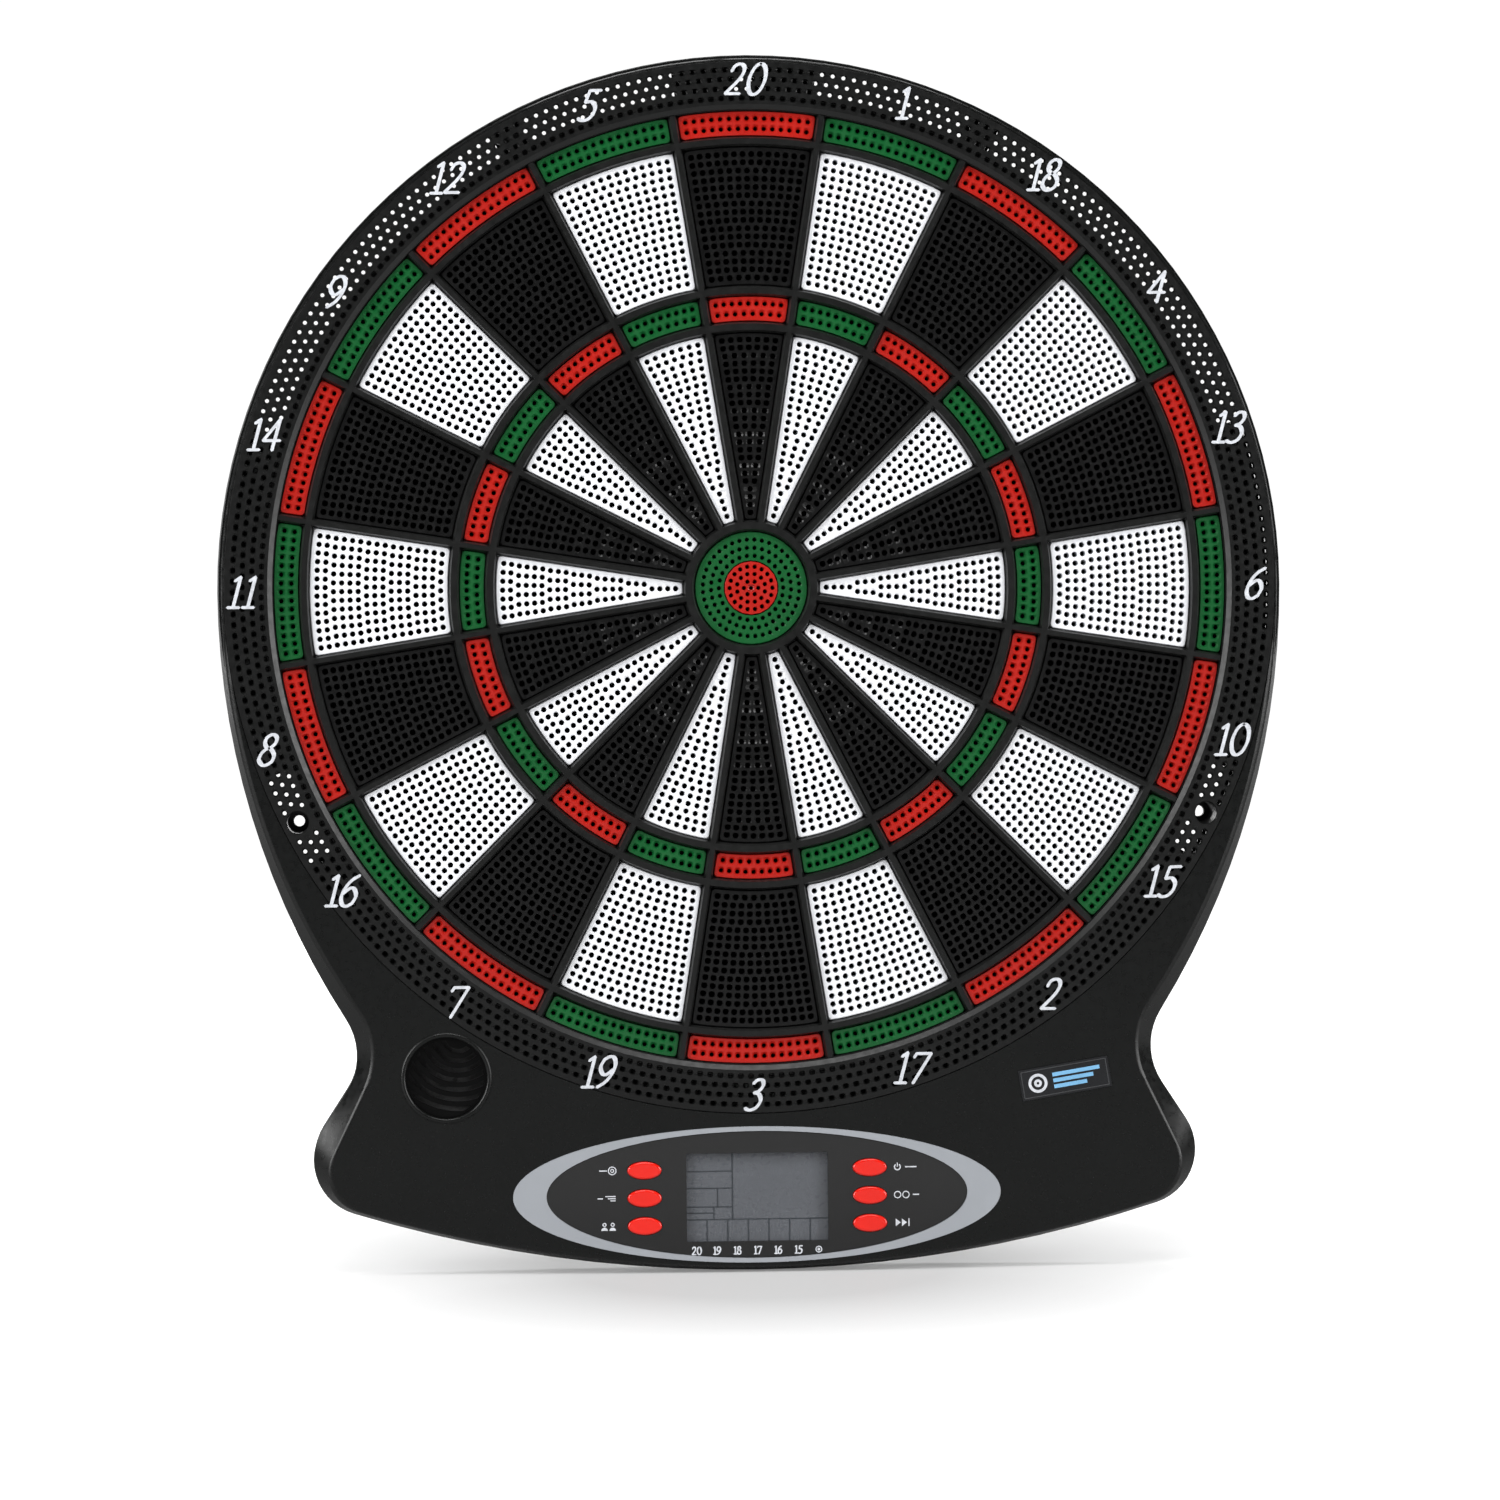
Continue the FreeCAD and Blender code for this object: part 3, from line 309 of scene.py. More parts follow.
# Colour, roughness and what else differs from the plain moulded material
SATIN = {"grain_strength": 0.2}
GLASSY = {"grain_strength": 0.0}
RECIPES = {
    "casing_black": (
        (0.0032, 0.0036, 0.0034), 0.3, {"specular": 0.34, "grain_scale": 1500, "grain_strength": 0.4}
    ),
    # Painted shade: the sunken speaker grille gets a darker, less glossy copy of the casing black, standing in for
    # the shade of its recess
    "grille_black_painted_shade": ((0.0016, 0.0016, 0.0016), 0.4, {"specular": 0.12, **SATIN}),
    "catch_black": ((0.0042, 0.0044, 0.0043), 0.36, {"specular": 0.4, "grain_strength": 0.3}),
    "web_black": ((0.0055, 0.0057, 0.0055), 0.36, {"specular": 0.4, **SATIN}),
    "segment_black": ((0.0028, 0.0028, 0.0029), 0.34, {"specular": 0.4, **SATIN}),
    "segment_white": ((0.86, 0.87, 0.9), 0.36, {"mottle": 0.02, "grain_strength": 0.15}),
    "segment_red": ((0.43, 0.01, 0.005), 0.34, {"mottle": 0.06, **SATIN}),
    "segment_green": ((0.003, 0.092, 0.02), 0.34, {"mottle": 0.08, **SATIN}),
    "number_white": ((0.62, 0.64, 0.68), 0.3, {"mottle": 0.15, "mottle_scale": 500, **SATIN}),
    "trim_grey": (
        (0.38, 0.4, 0.43), 0.34, {"mottle": 0.03, "grain_scale": 6000, "grain_strength": 0.15, "metallic": 0.2}
    ),
    "panel_black": ((0.004, 0.004, 0.0042), 0.15, {"spread": 0.05, "grain_strength": 0.05, "coat": 0.5}),
    "button_red": (
        (0.78, 0.012, 0.004), 0.2, {"spread": 0.06, "mottle": 0.04, "grain_strength": 0.08, "coat": 0.3}
    ),
    "lens_clear": ((0.1, 0.1, 0.105), 0.06, {"spread": 0.03, "mottle": 0.02, "alpha": 0.03, **GLASSY}),
    "display_grey": ((0.108, 0.115, 0.128), 0.3, {"mottle": 0.03, **GLASSY}),
    "display_ink": ((0.034, 0.04, 0.048), 0.4, {"mottle": 0.06, **GLASSY}),
    "frame_white": ((0.7, 0.7, 0.68), 0.45, {"mottle": 0.04}),
    "board_green": ((0.01, 0.09, 0.03), 0.25, {"mottle": 0.15, "mottle_scale": 300, "coat": 0.4}),
    "chip_black": ((0.012, 0.012, 0.013), 0.3, {"mottle": 0.2, "mottle_scale": 300}),
    "rubber_grey": ((0.16, 0.16, 0.17), 0.6, {"mottle": 0.06}),
    "mat_black": ((0.012, 0.012, 0.012), 0.75, {"mottle": 0.2, "mottle_scale": 200}),
    "film_clear": ((0.5, 0.52, 0.5), 0.2, {"mottle": 0.05}),
    "foam_grey": ((0.07, 0.07, 0.075), 0.9, {"grain_scale": 900, "grain_depth": 0.0003, "grain_strength": 0.8}),
    "fibreboard": (
        (0.28, 0.17, 0.09), 0.7, {"mottle": 0.3, "mottle_scale": 400, "grain_scale": 900, "grain_depth": 0.0001}
    ),
    "speaker_steel": ((0.45, 0.45, 0.46), 0.35, {"metallic": 0.9, "mottle": 0.08}),
    "cone_paper": ((0.03, 0.03, 0.03), 0.85, {"mottle": 0.3, "mottle_scale": 900}),
    "screw_zinc": ((0.56, 0.57, 0.58), 0.32, {"metallic": 1.0, "mottle": 0.12, "mottle_scale": 900}),
    "contact_nickel": ((0.6, 0.6, 0.57), 0.28, {"metallic": 1.0, "mottle": 0.08}),
    "cell_jacket": ((0.04, 0.08, 0.2), 0.25, {"metallic": 0.4, "mottle": 0.1}),
    "lead_black": ((0.02, 0.02, 0.02), 0.5, {"mottle": 0.1}),
    "lead_red": ((0.4, 0.01, 0.01), 0.5, {"mottle": 0.1}),
    "badge_black": ((0.007, 0.0075, 0.009), 0.2, {"spread": 0.06, "grain_strength": 0.1}),
    "badge_edge": ((0.05, 0.052, 0.055), 0.3, {"mottle": 0.08, "grain_strength": 0.1}),
    "badge_blue": ((0.2, 0.46, 0.72), 0.3, {"mottle": 0.08, "grain_strength": 0.1}),
}
MATERIALS = {name: moulded(name, colour, roughness, **extra) for name, (colour, roughness, extra) in RECIPES.items()}
MATERIALS["floor_pale"] = floor_material()


# ---------------------------------------------------------------- mesh helpers


def clock(radius, angle):
    """(x, z) at a clock angle in degrees."""
    a = math.radians(angle)
    return radius * math.sin(a), radius * math.cos(a)


class Shell:
    """Points and faces of one mesh under construction, in millimetres."""

    def __init__(self):
        self.points = []
        self.faces = []

    def point(self, x, y, z):
        """Adds one point and returns its index."""
        self.points.append((x, y, z))
        return len(self.points) - 1

    def loop(self, places, y):
        """Adds a point for each (x, z) at the depth y and returns their indices."""
        return [self.point(x, y, z) for x, z in places]

    def face(self, corners):
        self.faces.append(tuple(corners))

    def band(self, first, second):
        """Quads between two closed loops of as many points."""
        count = len(first)
        for i in range(count):
            j = (i + 1) % count
            self.face((first[i], first[j], second[j], second[i]))

    def bridge(self, first, first_keys, second, second_keys):
        """Triangles between two closed loops; their rising keys, from 0 to 1, say which points lie together."""
        i = j = 0
        while i < len(first) or j < len(second):
            next_i = first_keys[i + 1] if i + 1 < len(first) else first_keys[0] + 1
            next_j = second_keys[j + 1] if j + 1 < len(second) else second_keys[0] + 1
            a, b = first[i % len(first)], second[j % len(second)]
            if j >= len(second) or (i < len(first) and next_i <= next_j):
                self.face((a, first[(i + 1) % len(first)], b))
                i += 1
            else:
                self.face((a, second[(j + 1) % len(second)], b))
                j += 1


def finish_mesh(bm, name, material, smooth_angle=None):
    """An object in the scene from a bmesh, its faces turned outwards."""
    bmesh.ops.recalc_face_normals(bm, faces=bm.faces)
    mesh = bpy.data.meshes.new(name)
    bm.to_mesh(mesh)
    bm.free()
    mesh.materials.append(MATERIALS[material])
    if smooth_angle:
        mesh.polygons.foreach_set("use_smooth", [True] * len(mesh.polygons))
        mesh.set_sharp_from_angle(angle=math.radians(smooth_angle))
    obj = bpy.data.objects.new(name, mesh)
    bpy.context.scene.collection.objects.link(obj)
    return obj


def shell_object(shell, name, material, smooth_angle=None):
    """An object in the scene from a shell, in metres."""
    bm = bmesh.new()
    corners = [bm.verts.new((x * MM, y * MM, z * MM)) for x, y, z in shell.points]
    for face in shell.faces:
        bm.faces.new([corners[i] for i in face])
    return finish_mesh(bm, name, material, smooth_angle)


def dress(obj, body, replaces=()):
    """Hangs a piece on its body and hides the CAD nodes that it stands for."""
    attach(obj, body)
    if replaces:
        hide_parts(*replaces)
    return obj


def circle(x, z, radius, sides):
    """Evenly spaced places round (x, z)."""
    return [(x + u, z + v) for u, v in (clock(radius, 360.0 * i / sides) for i in range(sides))]


def prism(shell, places, front_y, back_y):
    """A solid with the same outline at the front and at the back."""
    front, back = shell.loop(places, front_y), shell.loop(places, back_y)
    shell.band(front, back)
    shell.face(front)
    shell.face(reversed(back))


def lathe(shell, profile, x, z, sides=48):
    """Turns a closed profile of (radius, y) corners about the axis along Y through (x, z)."""
    loops = [shell.loop(circle(x, z, radius, sides), y) for radius, y in profile]
    for first, second in zip(loops, loops[1:] + loops[:1]):
        shell.band(first, second)


# ---------------------------------------------------------------- perforated plates


class HoleGrid:
    """Rows of holes, each in a cell of its own, between a front and a back face.

    rows holds (inner radius, outer radius, holes, phase) from the middle outwards; a phase of 1 shifts a row by
    half a hole. place gives (x, z) for a radius and a share of the row's length. closed rows run all round.
    """

    def __init__(self, shell, rows, place, front_y, back_y, closed, holes, keep=None):
        self.shell, self.rows, self.place, self.closed = shell, rows, place, closed
        self.front_y, self.back_y = front_y, back_y
        self.land, self.hole_radius, self.funnel_depth = holes
        self.radii = [row[0] for row in rows] + [rows[-1][1]]
        self.shares = [self.edge_shares(k) for k in range(len(rows) + 1)]
        self.front = [self.edge_points(k, front_y) for k in range(len(rows) + 1)]
        self.back = [self.edge_points(k, back_y) for k in range(len(rows) + 1)]
        for k, (_, _, count, phase) in enumerate(rows):
            for j in range(count):
                start = Fraction(2 * j + phase, 2 * count)
                self.cell(k, start, start + Fraction(1, count), keep)

    def edge_shares(self, k):
        """Where the cells on both sides of edge k begin and end, as shares of its length."""
        shares = set()
        for _, _, count, phase in self.rows[max(k - 1, 0) : k + 1]:
            for j in range(count + 1):
                share = Fraction(2 * j + phase, 2 * count)
                shares.add(share % 1 if self.closed else share)
        return sorted(shares)

    def edge_points(self, k, y):
        """A point at the depth y for each share of edge k."""
        points = {}
        for share in self.shares[k]:
            x, z = self.place(self.radii[k], float(share))
            points[share] = self.shell.point(x, y, z)
        return points

    def stretch(self, k, start, end):
        """The shares of an edge from start to end, rising."""
        found = [s for s in self.shares[k] if start <= s <= end]
        if self.closed and end >= 1:
            found += [s + 1 for s in self.shares[k] if start <= s + 1 <= end and s + 1 not in found]
        return found

    def cell(self, k, start, end, keep):
        """One cell of row k with its hole, or plain where keep says no for its middle."""
        corners = [(k, s) for s in self.stretch(k, start, end)]
        corners += [(k + 1, s) for s in reversed(self.stretch(k + 1, start, end))]
        inner, outer = self.radii[k], self.radii[k + 1]
        middle = (inner + outer) / 2
        cx, cz = self.place(middle, float(start + end) / 2)
        wrap = (lambda s: s % 1) if self.closed else (lambda s: s)
        front = [self.front[e][wrap(s)] for e, s in corners]
        back = [self.back[e][wrap(s)] for e, s in corners]
        if keep and not keep(cx, cz):
            self.shell.face(front)
            self.shell.face(back)
            return
        across = Vector(self.place(middle, float(end))) - Vector(self.place(middle, float(start)))
        half_across, half_up = across.length / 2 - self.land, (outer - inner) / 2 - self.land
        self.hole(cx, cz, across.normalized(), half_across, half_up, front, back)

    def hole(self, cx, cz, across, half_across, half_up, front, back):
        """Flat land round the cell, a funnel from a rounded square to the hole, and the hole's wall."""
        radius = min(self.hole_radius, half_across - LEAST_FUNNEL, half_up - LEAST_FUNNEL)
        up = Vector((-across.y, across.x))
        lip, rim = [], []
        for i in range(HOLE_SIDES):
            turn = 2 * math.pi * i / HOLE_SIDES
            c, s = math.cos(turn), math.sin(turn)
            u = math.copysign(abs(c) ** SQUARENESS, c) * half_across
            v = math.copysign(abs(s) ** SQUARENESS, s) * half_up
            lip.append((cx + across.x * u + up.x * v, cz + across.y * u + up.y * v))
            u, v = radius * c, radius * s
            rim.append((cx + across.x * u + up.x * v, cz + across.y * u + up.y * v))
        lip_front = self.shell.loop(lip, self.front_y)
        rim_front = self.shell.loop(rim, self.front_y + self.funnel_depth)
        rim_back = self.shell.loop(rim, self.back_y)
        self.shell.band(lip_front, rim_front)
        self.shell.band(rim_front, rim_back)
        self.join(front, lip_front, cx, cz)
        self.join(back, rim_back, cx, cz)

    def join(self, first, second, cx, cz):
        """Bridges two loops in the order of their points' angles about (cx, cz)."""

        def turn(i):
            x, _, z = self.shell.points[i]
            return math.atan2(z - cz, x - cx) / (2 * math.pi) % 1.0

        first, second = sorted(first, key=turn), sorted(second, key=turn)
        self.shell.bridge(first, [turn(i) for i in first], second, [turn(i) for i in second])

    def rim(self, k, points):
        """The points of one edge in the order of their shares."""
        return [points[k][s] for s in self.shares[k]]


def half_angle(radius, gap):
    """Half of a wedge's angle at a radius, in degrees, with a gap of constant width beside it."""
    return HALF_WEDGE - math.degrees(math.asin(gap / radius))


def segment_shell(inner, outer, row_count, row_pitch, hole_pitch, holes):
    """One wedge-shaped segment at the top of the board, with its retaining flange."""
    margin = (outer - inner - row_count * row_pitch) / 2
    grid_inner, grid_outer, grid_gap = inner + margin, outer - margin, HALF_GAP + SIDE_MARGIN

    def place(radius, share, grow=0.0):
        """A point of the grid; grow from 0 to 1 carries its border out to the segment's edge, and on past it."""
        side, end = grow, 0.0
        if math.isclose(radius, grid_outer):
            end = grow
        elif math.isclose(radius, grid_inner):
            end = -grow
        radius += end * margin if abs(end) <= 1 else math.copysign(margin + abs(end) - 1, end)
        side = side * SIDE_MARGIN if side <= 1 else SIDE_MARGIN + side - 1
        reach = half_angle(radius, grid_gap - side)
        return clock(radius, reach * (2 * share - 1))

    rows = []
    for k in range(row_count):
        low = grid_inner + k * row_pitch
        middle = low + row_pitch / 2
        width = 2 * math.radians(half_angle(middle, grid_gap)) * middle
        high = low + row_pitch if k < row_count - 1 else grid_outer
        rows.append((low, high, max(1, int(width / hole_pitch)), 0))
    shell = Shell()
    grid = HoleGrid(shell, rows, place, SEGMENT_Y, SEGMENT_BACK_Y, False, holes)
    last = len(rows)

    def border(points):
        """The grid's border clockwise from the lower left corner; each side takes a quarter of the keys."""
        left = [(0.25 * k / last, points[k][Fraction(0)]) for k in range(last)]
        top = [(0.25 + 0.25 * float(s), points[last][s]) for s in grid.shares[last][:-1]]
        right = [(0.75 - 0.25 * k / last, points[k][Fraction(1)]) for k in range(last, 0, -1)]
        bottom = [(1.0 - 0.25 * float(s), points[0][s]) for s in reversed(grid.shares[0][1:])]
        ring = [*left, *top, *right, *bottom]
        return [i for _, i in ring], [key for key, _ in ring]

    def corner(key, radius, share, grow):
        """Points that round one corner of the outline, with their keys."""
        tip = Vector(place(radius, share, grow))
        inward = Vector(place((grid_inner + grid_outer) / 2, share, grow)) - tip
        along = Vector(place(radius, 0.5, grow)) - tip
        reach = min(CORNER_ROUNDING, CORNER_SHARE * along.length)
        side_point, end_point = tip + inward.normalized() * reach, tip + along.normalized() * reach
        clockwise = share == 0 if radius == grid_outer else share == 1
        if not clockwise:
            side_point, end_point = end_point, side_point
        places = []
        for i in range(CORNER_POINTS):
            t = i / (CORNER_POINTS - 1)
            bent = side_point * (1 - t) ** 2 + tip * (2 * t * (1 - t)) + end_point * t**2
            places.append(((key + (t - 0.5) * CORNER_SPREAD) % 1.0, (bent.x, bent.y)))
        return places

    def outline(grow):
        """The segment's outline with rounded corners as places and rising keys, a quarter for each side."""
        ring = [(0.25 * k / last, place(grid.radii[k], 0.0, grow)) for k in range(1, last)]
        ring += corner(0.25, grid_outer, 0, grow)
        ring += [(0.25 + 0.25 * float(s), place(grid_outer, float(s), grow)) for s in grid.shares[last][1:-1]]
        ring += corner(0.5, grid_outer, 1, grow)
        ring += [(0.75 - 0.25 * k / last, place(grid.radii[k], 1.0, grow)) for k in range(last - 1, 0, -1)]
        ring += corner(0.75, grid_inner, 1, grow)
        ring += [(1.0 - 0.25 * float(s), place(grid_inner, float(s), grow)) for s in reversed(grid.shares[0][1:-1])]
        ring += corner(0.0, grid_inner, 0, grow)
        ring.sort(key=lambda entry: entry[0])
        return [place for _, place in ring], [key for key, _ in ring]

    edge = 1.0 - EDGE_ROUNDING / SIDE_MARGIN
    levels = (
        (edge, SEGMENT_Y),
        (1.0, SEGMENT_Y + EDGE_ROUNDING),
        (1.0, FLANGE_Y),
        (1.0 + FLANGE_WIDTH, FLANGE_Y),
        (1.0 + FLANGE_WIDTH, SEGMENT_BACK_Y),
    )
    loops = []
    for grow, y in levels:
        places, keys = outline(grow)
        loops.append(shell.loop(places, y))
    front, front_keys = border(grid.front)
    back, back_keys = border(grid.back)
    shell.bridge(front, front_keys, loops[0], keys)
    for first, second in zip(loops, loops[1:]):
        shell.band(first, second)
    shell.bridge(back, back_keys, loops[-1], keys)
    return shell


def round_place(radius, share):
    """(x, z) at a share of a full turn."""
    return clock(radius, 360.0 * share)


def row_edges(rows, inner, outer):
    """Rows of (radius, holes) as cells that meet halfway between them, from inner to outer."""
    radii = [radius for radius, _ in rows]
    edges = [inner, *((a + b) / 2 for a, b in zip(radii, radii[1:])), outer]
    return [(low, high, count, 0) for low, high, (_, count) in zip(edges, edges[1:], rows)]


def ring_walls(shell, grid, k, profile):
    """Closes a round grid at one edge with loops through (radius, y) corners, from its front to its back."""
    previous = grid.rim(k, grid.front)
    for radius, y in profile:
        current = shell.loop([round_place(radius, float(s)) for s in grid.shares[k]], y)
        shell.band(previous, current)
        previous = current
    shell.band(previous, grid.rim(k, grid.back))


def outer_bull_shell():
    """The green ring with its flange and its rows of dart holes."""
    shell = Shell()
    bore = INNER_BULL_RADIUS + BULL_GAP
    rows = row_edges(OUTER_BULL_ROWS, bore + BULL_BORE_MARGIN, OUTER_BULL_RADIUS - OUTER_BULL_MARGIN)
    grid = HoleGrid(shell, rows, round_place, SEGMENT_Y, SEGMENT_BACK_Y, True, BULL_HOLES)
    outer, wide = OUTER_BULL_RADIUS, OUTER_BULL_RADIUS + FLANGE_WIDTH
    ring_walls(
        shell,
        grid,
        len(rows),
        (
            (outer - EDGE_ROUNDING, SEGMENT_Y),
            (outer, SEGMENT_Y + EDGE_ROUNDING),
            (outer, FLANGE_Y),
            (wide, FLANGE_Y),
            (wide, SEGMENT_BACK_Y),
        ),
    )
    rounding = BULL_BORE_ROUNDING
    ring_walls(shell, grid, 0, ((bore + rounding, SEGMENT_Y), (bore, SEGMENT_Y + rounding), (bore, SEGMENT_BACK_Y)))
    return shell


def inner_bull_shell():
    """The red disc with a dart hole in the middle and three rows round it."""
    shell = Shell()
    middle = INNER_BULL_ROWS[0][0] / 2
    rows = row_edges(INNER_BULL_ROWS, middle, INNER_BULL_RADIUS - INNER_BULL_MARGIN)
    grid = HoleGrid(shell, rows, round_place, SEGMENT_Y, SEGMENT_BACK_Y, True, BULL_HOLES)
    outer = INNER_BULL_RADIUS
    ring_walls(
        shell,
        grid,
        len(rows),
        ((outer - EDGE_ROUNDING, SEGMENT_Y), (outer, SEGMENT_Y + EDGE_ROUNDING), (outer, SEGMENT_BACK_Y)),
    )
    reach = middle - 0.1
    grid.hole(0.0, 0.0, Vector((1, 0)), reach, reach, grid.rim(0, grid.front), grid.rim(0, grid.back))
    return shell


def make_target():
    """The 80 number segments and the two bulls, each a piece of its own."""
    for ring, sizes in RINGS.items():
        pattern = shell_object(segment_shell(*sizes), f"{ring}_pattern", "segment_black")
        for step, number in enumerate(NUMBERS):
            dark = step % 2 == 0
            if ring in ("double", "triple"):
                slot = "segment_red" if dark else "segment_green"
            else:
                slot = "segment_black" if dark else "segment_white"
            mesh = pattern.data.copy()
            piece = bpy.data.objects.new(f"{ring}_{number:02d}", mesh)
            bpy.context.scene.collection.objects.link(piece)
            angle = math.radians(2 * HALF_WEDGE * step)
            for vertex in mesh.vertices:
                x, y, z = vertex.co
                vertex.co = (x * math.cos(angle) + z * math.sin(angle), y, z * math.cos(angle) - x * math.sin(angle))
            mesh.materials[0] = MATERIALS[slot]
            node = f"segments_{number:02d}"
            dress(piece, node, (node,))
        bpy.data.objects.remove(pattern)
    for node, shell, slot in (
        ("outer_bull", outer_bull_shell(), "segment_green"),
        ("inner_bull", inner_bull_shell(), "segment_red"),
    ):
        dress(shell_object(shell, f"{node}_segment", slot), node, (node,))


# ---------------------------------------------------------------- number ring


SLEEVES = [Vector(clock(WALL_SCREW_CIRCLE, angle)) for angle in WALL_SCREW_ANGLES]


def clear_of_sleeves(x, z):
    """Whether the number ring has room for a hole or a bump there."""
    return all((Vector((x, z)) - sleeve).length > SLEEVE_RADIUS + SLEEVE_LAND for sleeve in SLEEVES)


def drill_sleeve_holes(plate):
    """Cuts the two holes for the screw sleeves and applies the cut to the plate's mesh."""
    drill = Shell()
    for sleeve in SLEEVES:
        outline = circle(sleeve.x, sleeve.y, SLEEVE_RADIUS, SLEEVE_SIDES)
        prism(drill, outline, FRONT_Y - DRILL_OVERSHOOT, PLATE_BACK_Y + DRILL_OVERSHOOT)
    cutter = shell_object(drill, "sleeve_drill", "catch_black")
    cut = plate.modifiers.new("sleeve_holes", "BOOLEAN")
    cut.operation = "DIFFERENCE"
    cut.solver = "EXACT"
    cut.object = cutter
    bpy.context.view_layer.update()
    bored = bpy.data.meshes.new_from_object(plate.evaluated_get(bpy.context.evaluated_depsgraph_get()))
    plate.modifiers.clear()
    plate.data = bored
    bpy.data.objects.remove(cutter)


def make_ring_plate():
    """The perforated plate, with a chamfer towards the target and a hole for each screw sleeve."""
    shell = Shell()
    half = RING_ROW_PITCH / 2
    rows = [(r - half, r + half, RING_HOLES, i % 2) for i, r in enumerate(RING_ROWS)]
    grid = HoleGrid(shell, rows, round_place, FRONT_Y, PLATE_BACK_Y, True, RING_PLATE_HOLES, clear_of_sleeves)
    edge, rounding = RING_RADIUS, RING_EDGE_ROUNDING
    ring_walls(shell, grid, len(rows), ((edge - rounding, FRONT_Y), (edge, FRONT_Y + rounding), (edge, PLATE_BACK_Y)))
    bore, lip = CHAMFER_RADII
    ring_walls(shell, grid, 0, ((lip, FRONT_Y), (bore, CHAMFER_Y), (bore, PLATE_BACK_Y)))
    plate = shell_object(shell, "number_ring", "catch_black")
    drill_sleeve_holes(plate)
    dress(plate, BOARD, ("catch_ring",))


def make_ring_back():
    """The skirt round the target and the screw bosses behind the plate."""
    shell = Shell()

    def tube(radii, end, x, z, sides):
        """A tube from the back of the plate to the depth end."""
        inner, outer = radii
        lathe(shell, ((inner, PLATE_BACK_Y), (outer, PLATE_BACK_Y), (outer, end), (inner, end)), x, z, sides)

    tube(SKIRT_RADII, RING_HIGH.y - SKIRT_CLEARANCE, 0.0, 0.0, SKIRT_SIDES)
    for angle in RING_SCREW_ANGLES:
        tube(BOSS_RADII, BOSS_END_Y, *clock(RING_SCREW_CIRCLE, angle), BOSS_SIDES)
    skirt = shell_object(shell, "number_ring_skirt", "catch_black", SKIRT_SMOOTH_ANGLE)
    dress(skirt, BOARD)


def make_ring_bumps():
    """The small raised bumps between the ring's holes."""
    shell = Shell()
    for i, radius in enumerate(RING_ROWS):
        for j in range(RING_HOLES):
            x, z = clock(radius, 360.0 * (j + 0.5 * (i % 2)) / RING_HOLES)
            if not clear_of_sleeves(x, z):
                continue
            foot, top = [shell.loop(circle(x, z, width, BUMP_SIDES), y) for width, y in BUMP_LEVELS]
            shell.band(foot, top)
            shell.face(top)
            shell.face(reversed(foot))
    dress(shell_object(shell, "number_ring_bumps", "catch_black"), BOARD)


# ---------------------------------------------------------------- numerals


# Pen strokes of each digit on a body one unit high; a stroke of two points is straight and the rest are curved
DIGITS = {
    "0": (
        (
            (0.29, 0.995),
            (0.12, 0.86),
            (0.04, 0.5),
            (0.12, 0.14),
            (0.29, 0.005),
            (0.47, 0.14),
            (0.55, 0.5),
            (0.47, 0.86),
            (0.29, 0.995),
        ),
    ),
    "1": (((0.25, 1.0), (0.25, 0.03)), ((0.1, 0.87), (0.25, 0.99)), ((0.07, 0.02), (0.44, 0.02))),
    "2": (
        ((0.07, 0.76), (0.14, 0.93), (0.3, 0.99), (0.44, 0.9), (0.46, 0.7), (0.34, 0.44), (0.04, 0.05)),
        ((0.04, 0.04), (0.5, 0.04)),
    ),
    "3": (
        ((0.1, 0.86), (0.22, 0.98), (0.38, 0.95), (0.43, 0.78), (0.34, 0.62), (0.2, 0.56)),
        ((0.2, 0.56), (0.38, 0.5), (0.47, 0.3), (0.39, 0.09), (0.2, 0.005), (0.03, 0.06)),
    ),
    "4": (((0.4, 0.98), (0.02, 0.31)), ((0.02, 0.31), (0.56, 0.31)), ((0.4, 0.98), (0.38, 0.0))),
    "5": (
        ((0.18, 0.96), (0.54, 0.97)),
        ((0.18, 0.96), (0.13, 0.58)),
        ((0.13, 0.58), (0.32, 0.6), (0.47, 0.45), (0.47, 0.22), (0.34, 0.04), (0.16, 0.0), (0.02, 0.06)),
    ),
    "6": (
        ((0.46, 0.99), (0.24, 0.83), (0.09, 0.58), (0.04, 0.3), (0.12, 0.07), (0.28, 0.005), (0.44, 0.1)),
        ((0.44, 0.1), (0.5, 0.32), (0.42, 0.52), (0.27, 0.59), (0.07, 0.42)),
    ),
    "7": (((0.03, 0.84), (0.08, 0.96)), ((0.07, 0.96), (0.55, 0.96)), ((0.55, 0.96), (0.2, 0.0))),
    "8": (
        ((0.27, 0.55), (0.12, 0.67), (0.11, 0.87), (0.27, 0.99), (0.43, 0.9), (0.43, 0.7), (0.27, 0.55)),
        ((0.27, 0.55), (0.08, 0.4), (0.05, 0.16), (0.24, 0.0), (0.46, 0.12), (0.47, 0.36), (0.27, 0.55)),
    ),
    "9": (
        ((0.09, 0.01), (0.31, 0.17), (0.46, 0.42), (0.51, 0.7), (0.43, 0.93), (0.27, 0.995), (0.11, 0.9)),
        ((0.11, 0.9), (0.05, 0.68), (0.13, 0.48), (0.28, 0.41), (0.48, 0.58)),
    ),
}
# In shares of a digit's height: steps to the next digit, its offset in the step, slant, and nib thin and broad
DIGIT_STEP = 0.66
NARROW_STEP = 0.47
DIGIT_OFFSET = 0.04
SLANT = 0.27
NIB = (0.095, 0.15)
SMALL_NIB = (0.17, 0.21)
NIB_ANGLE = math.radians(28)
STRAIGHT_STEPS = 4
CURVE_STEPS = 8
# Each stroke of a number stands this much prouder than the last, so that crossing strokes share no face
STROKE_LIFT = 0.01


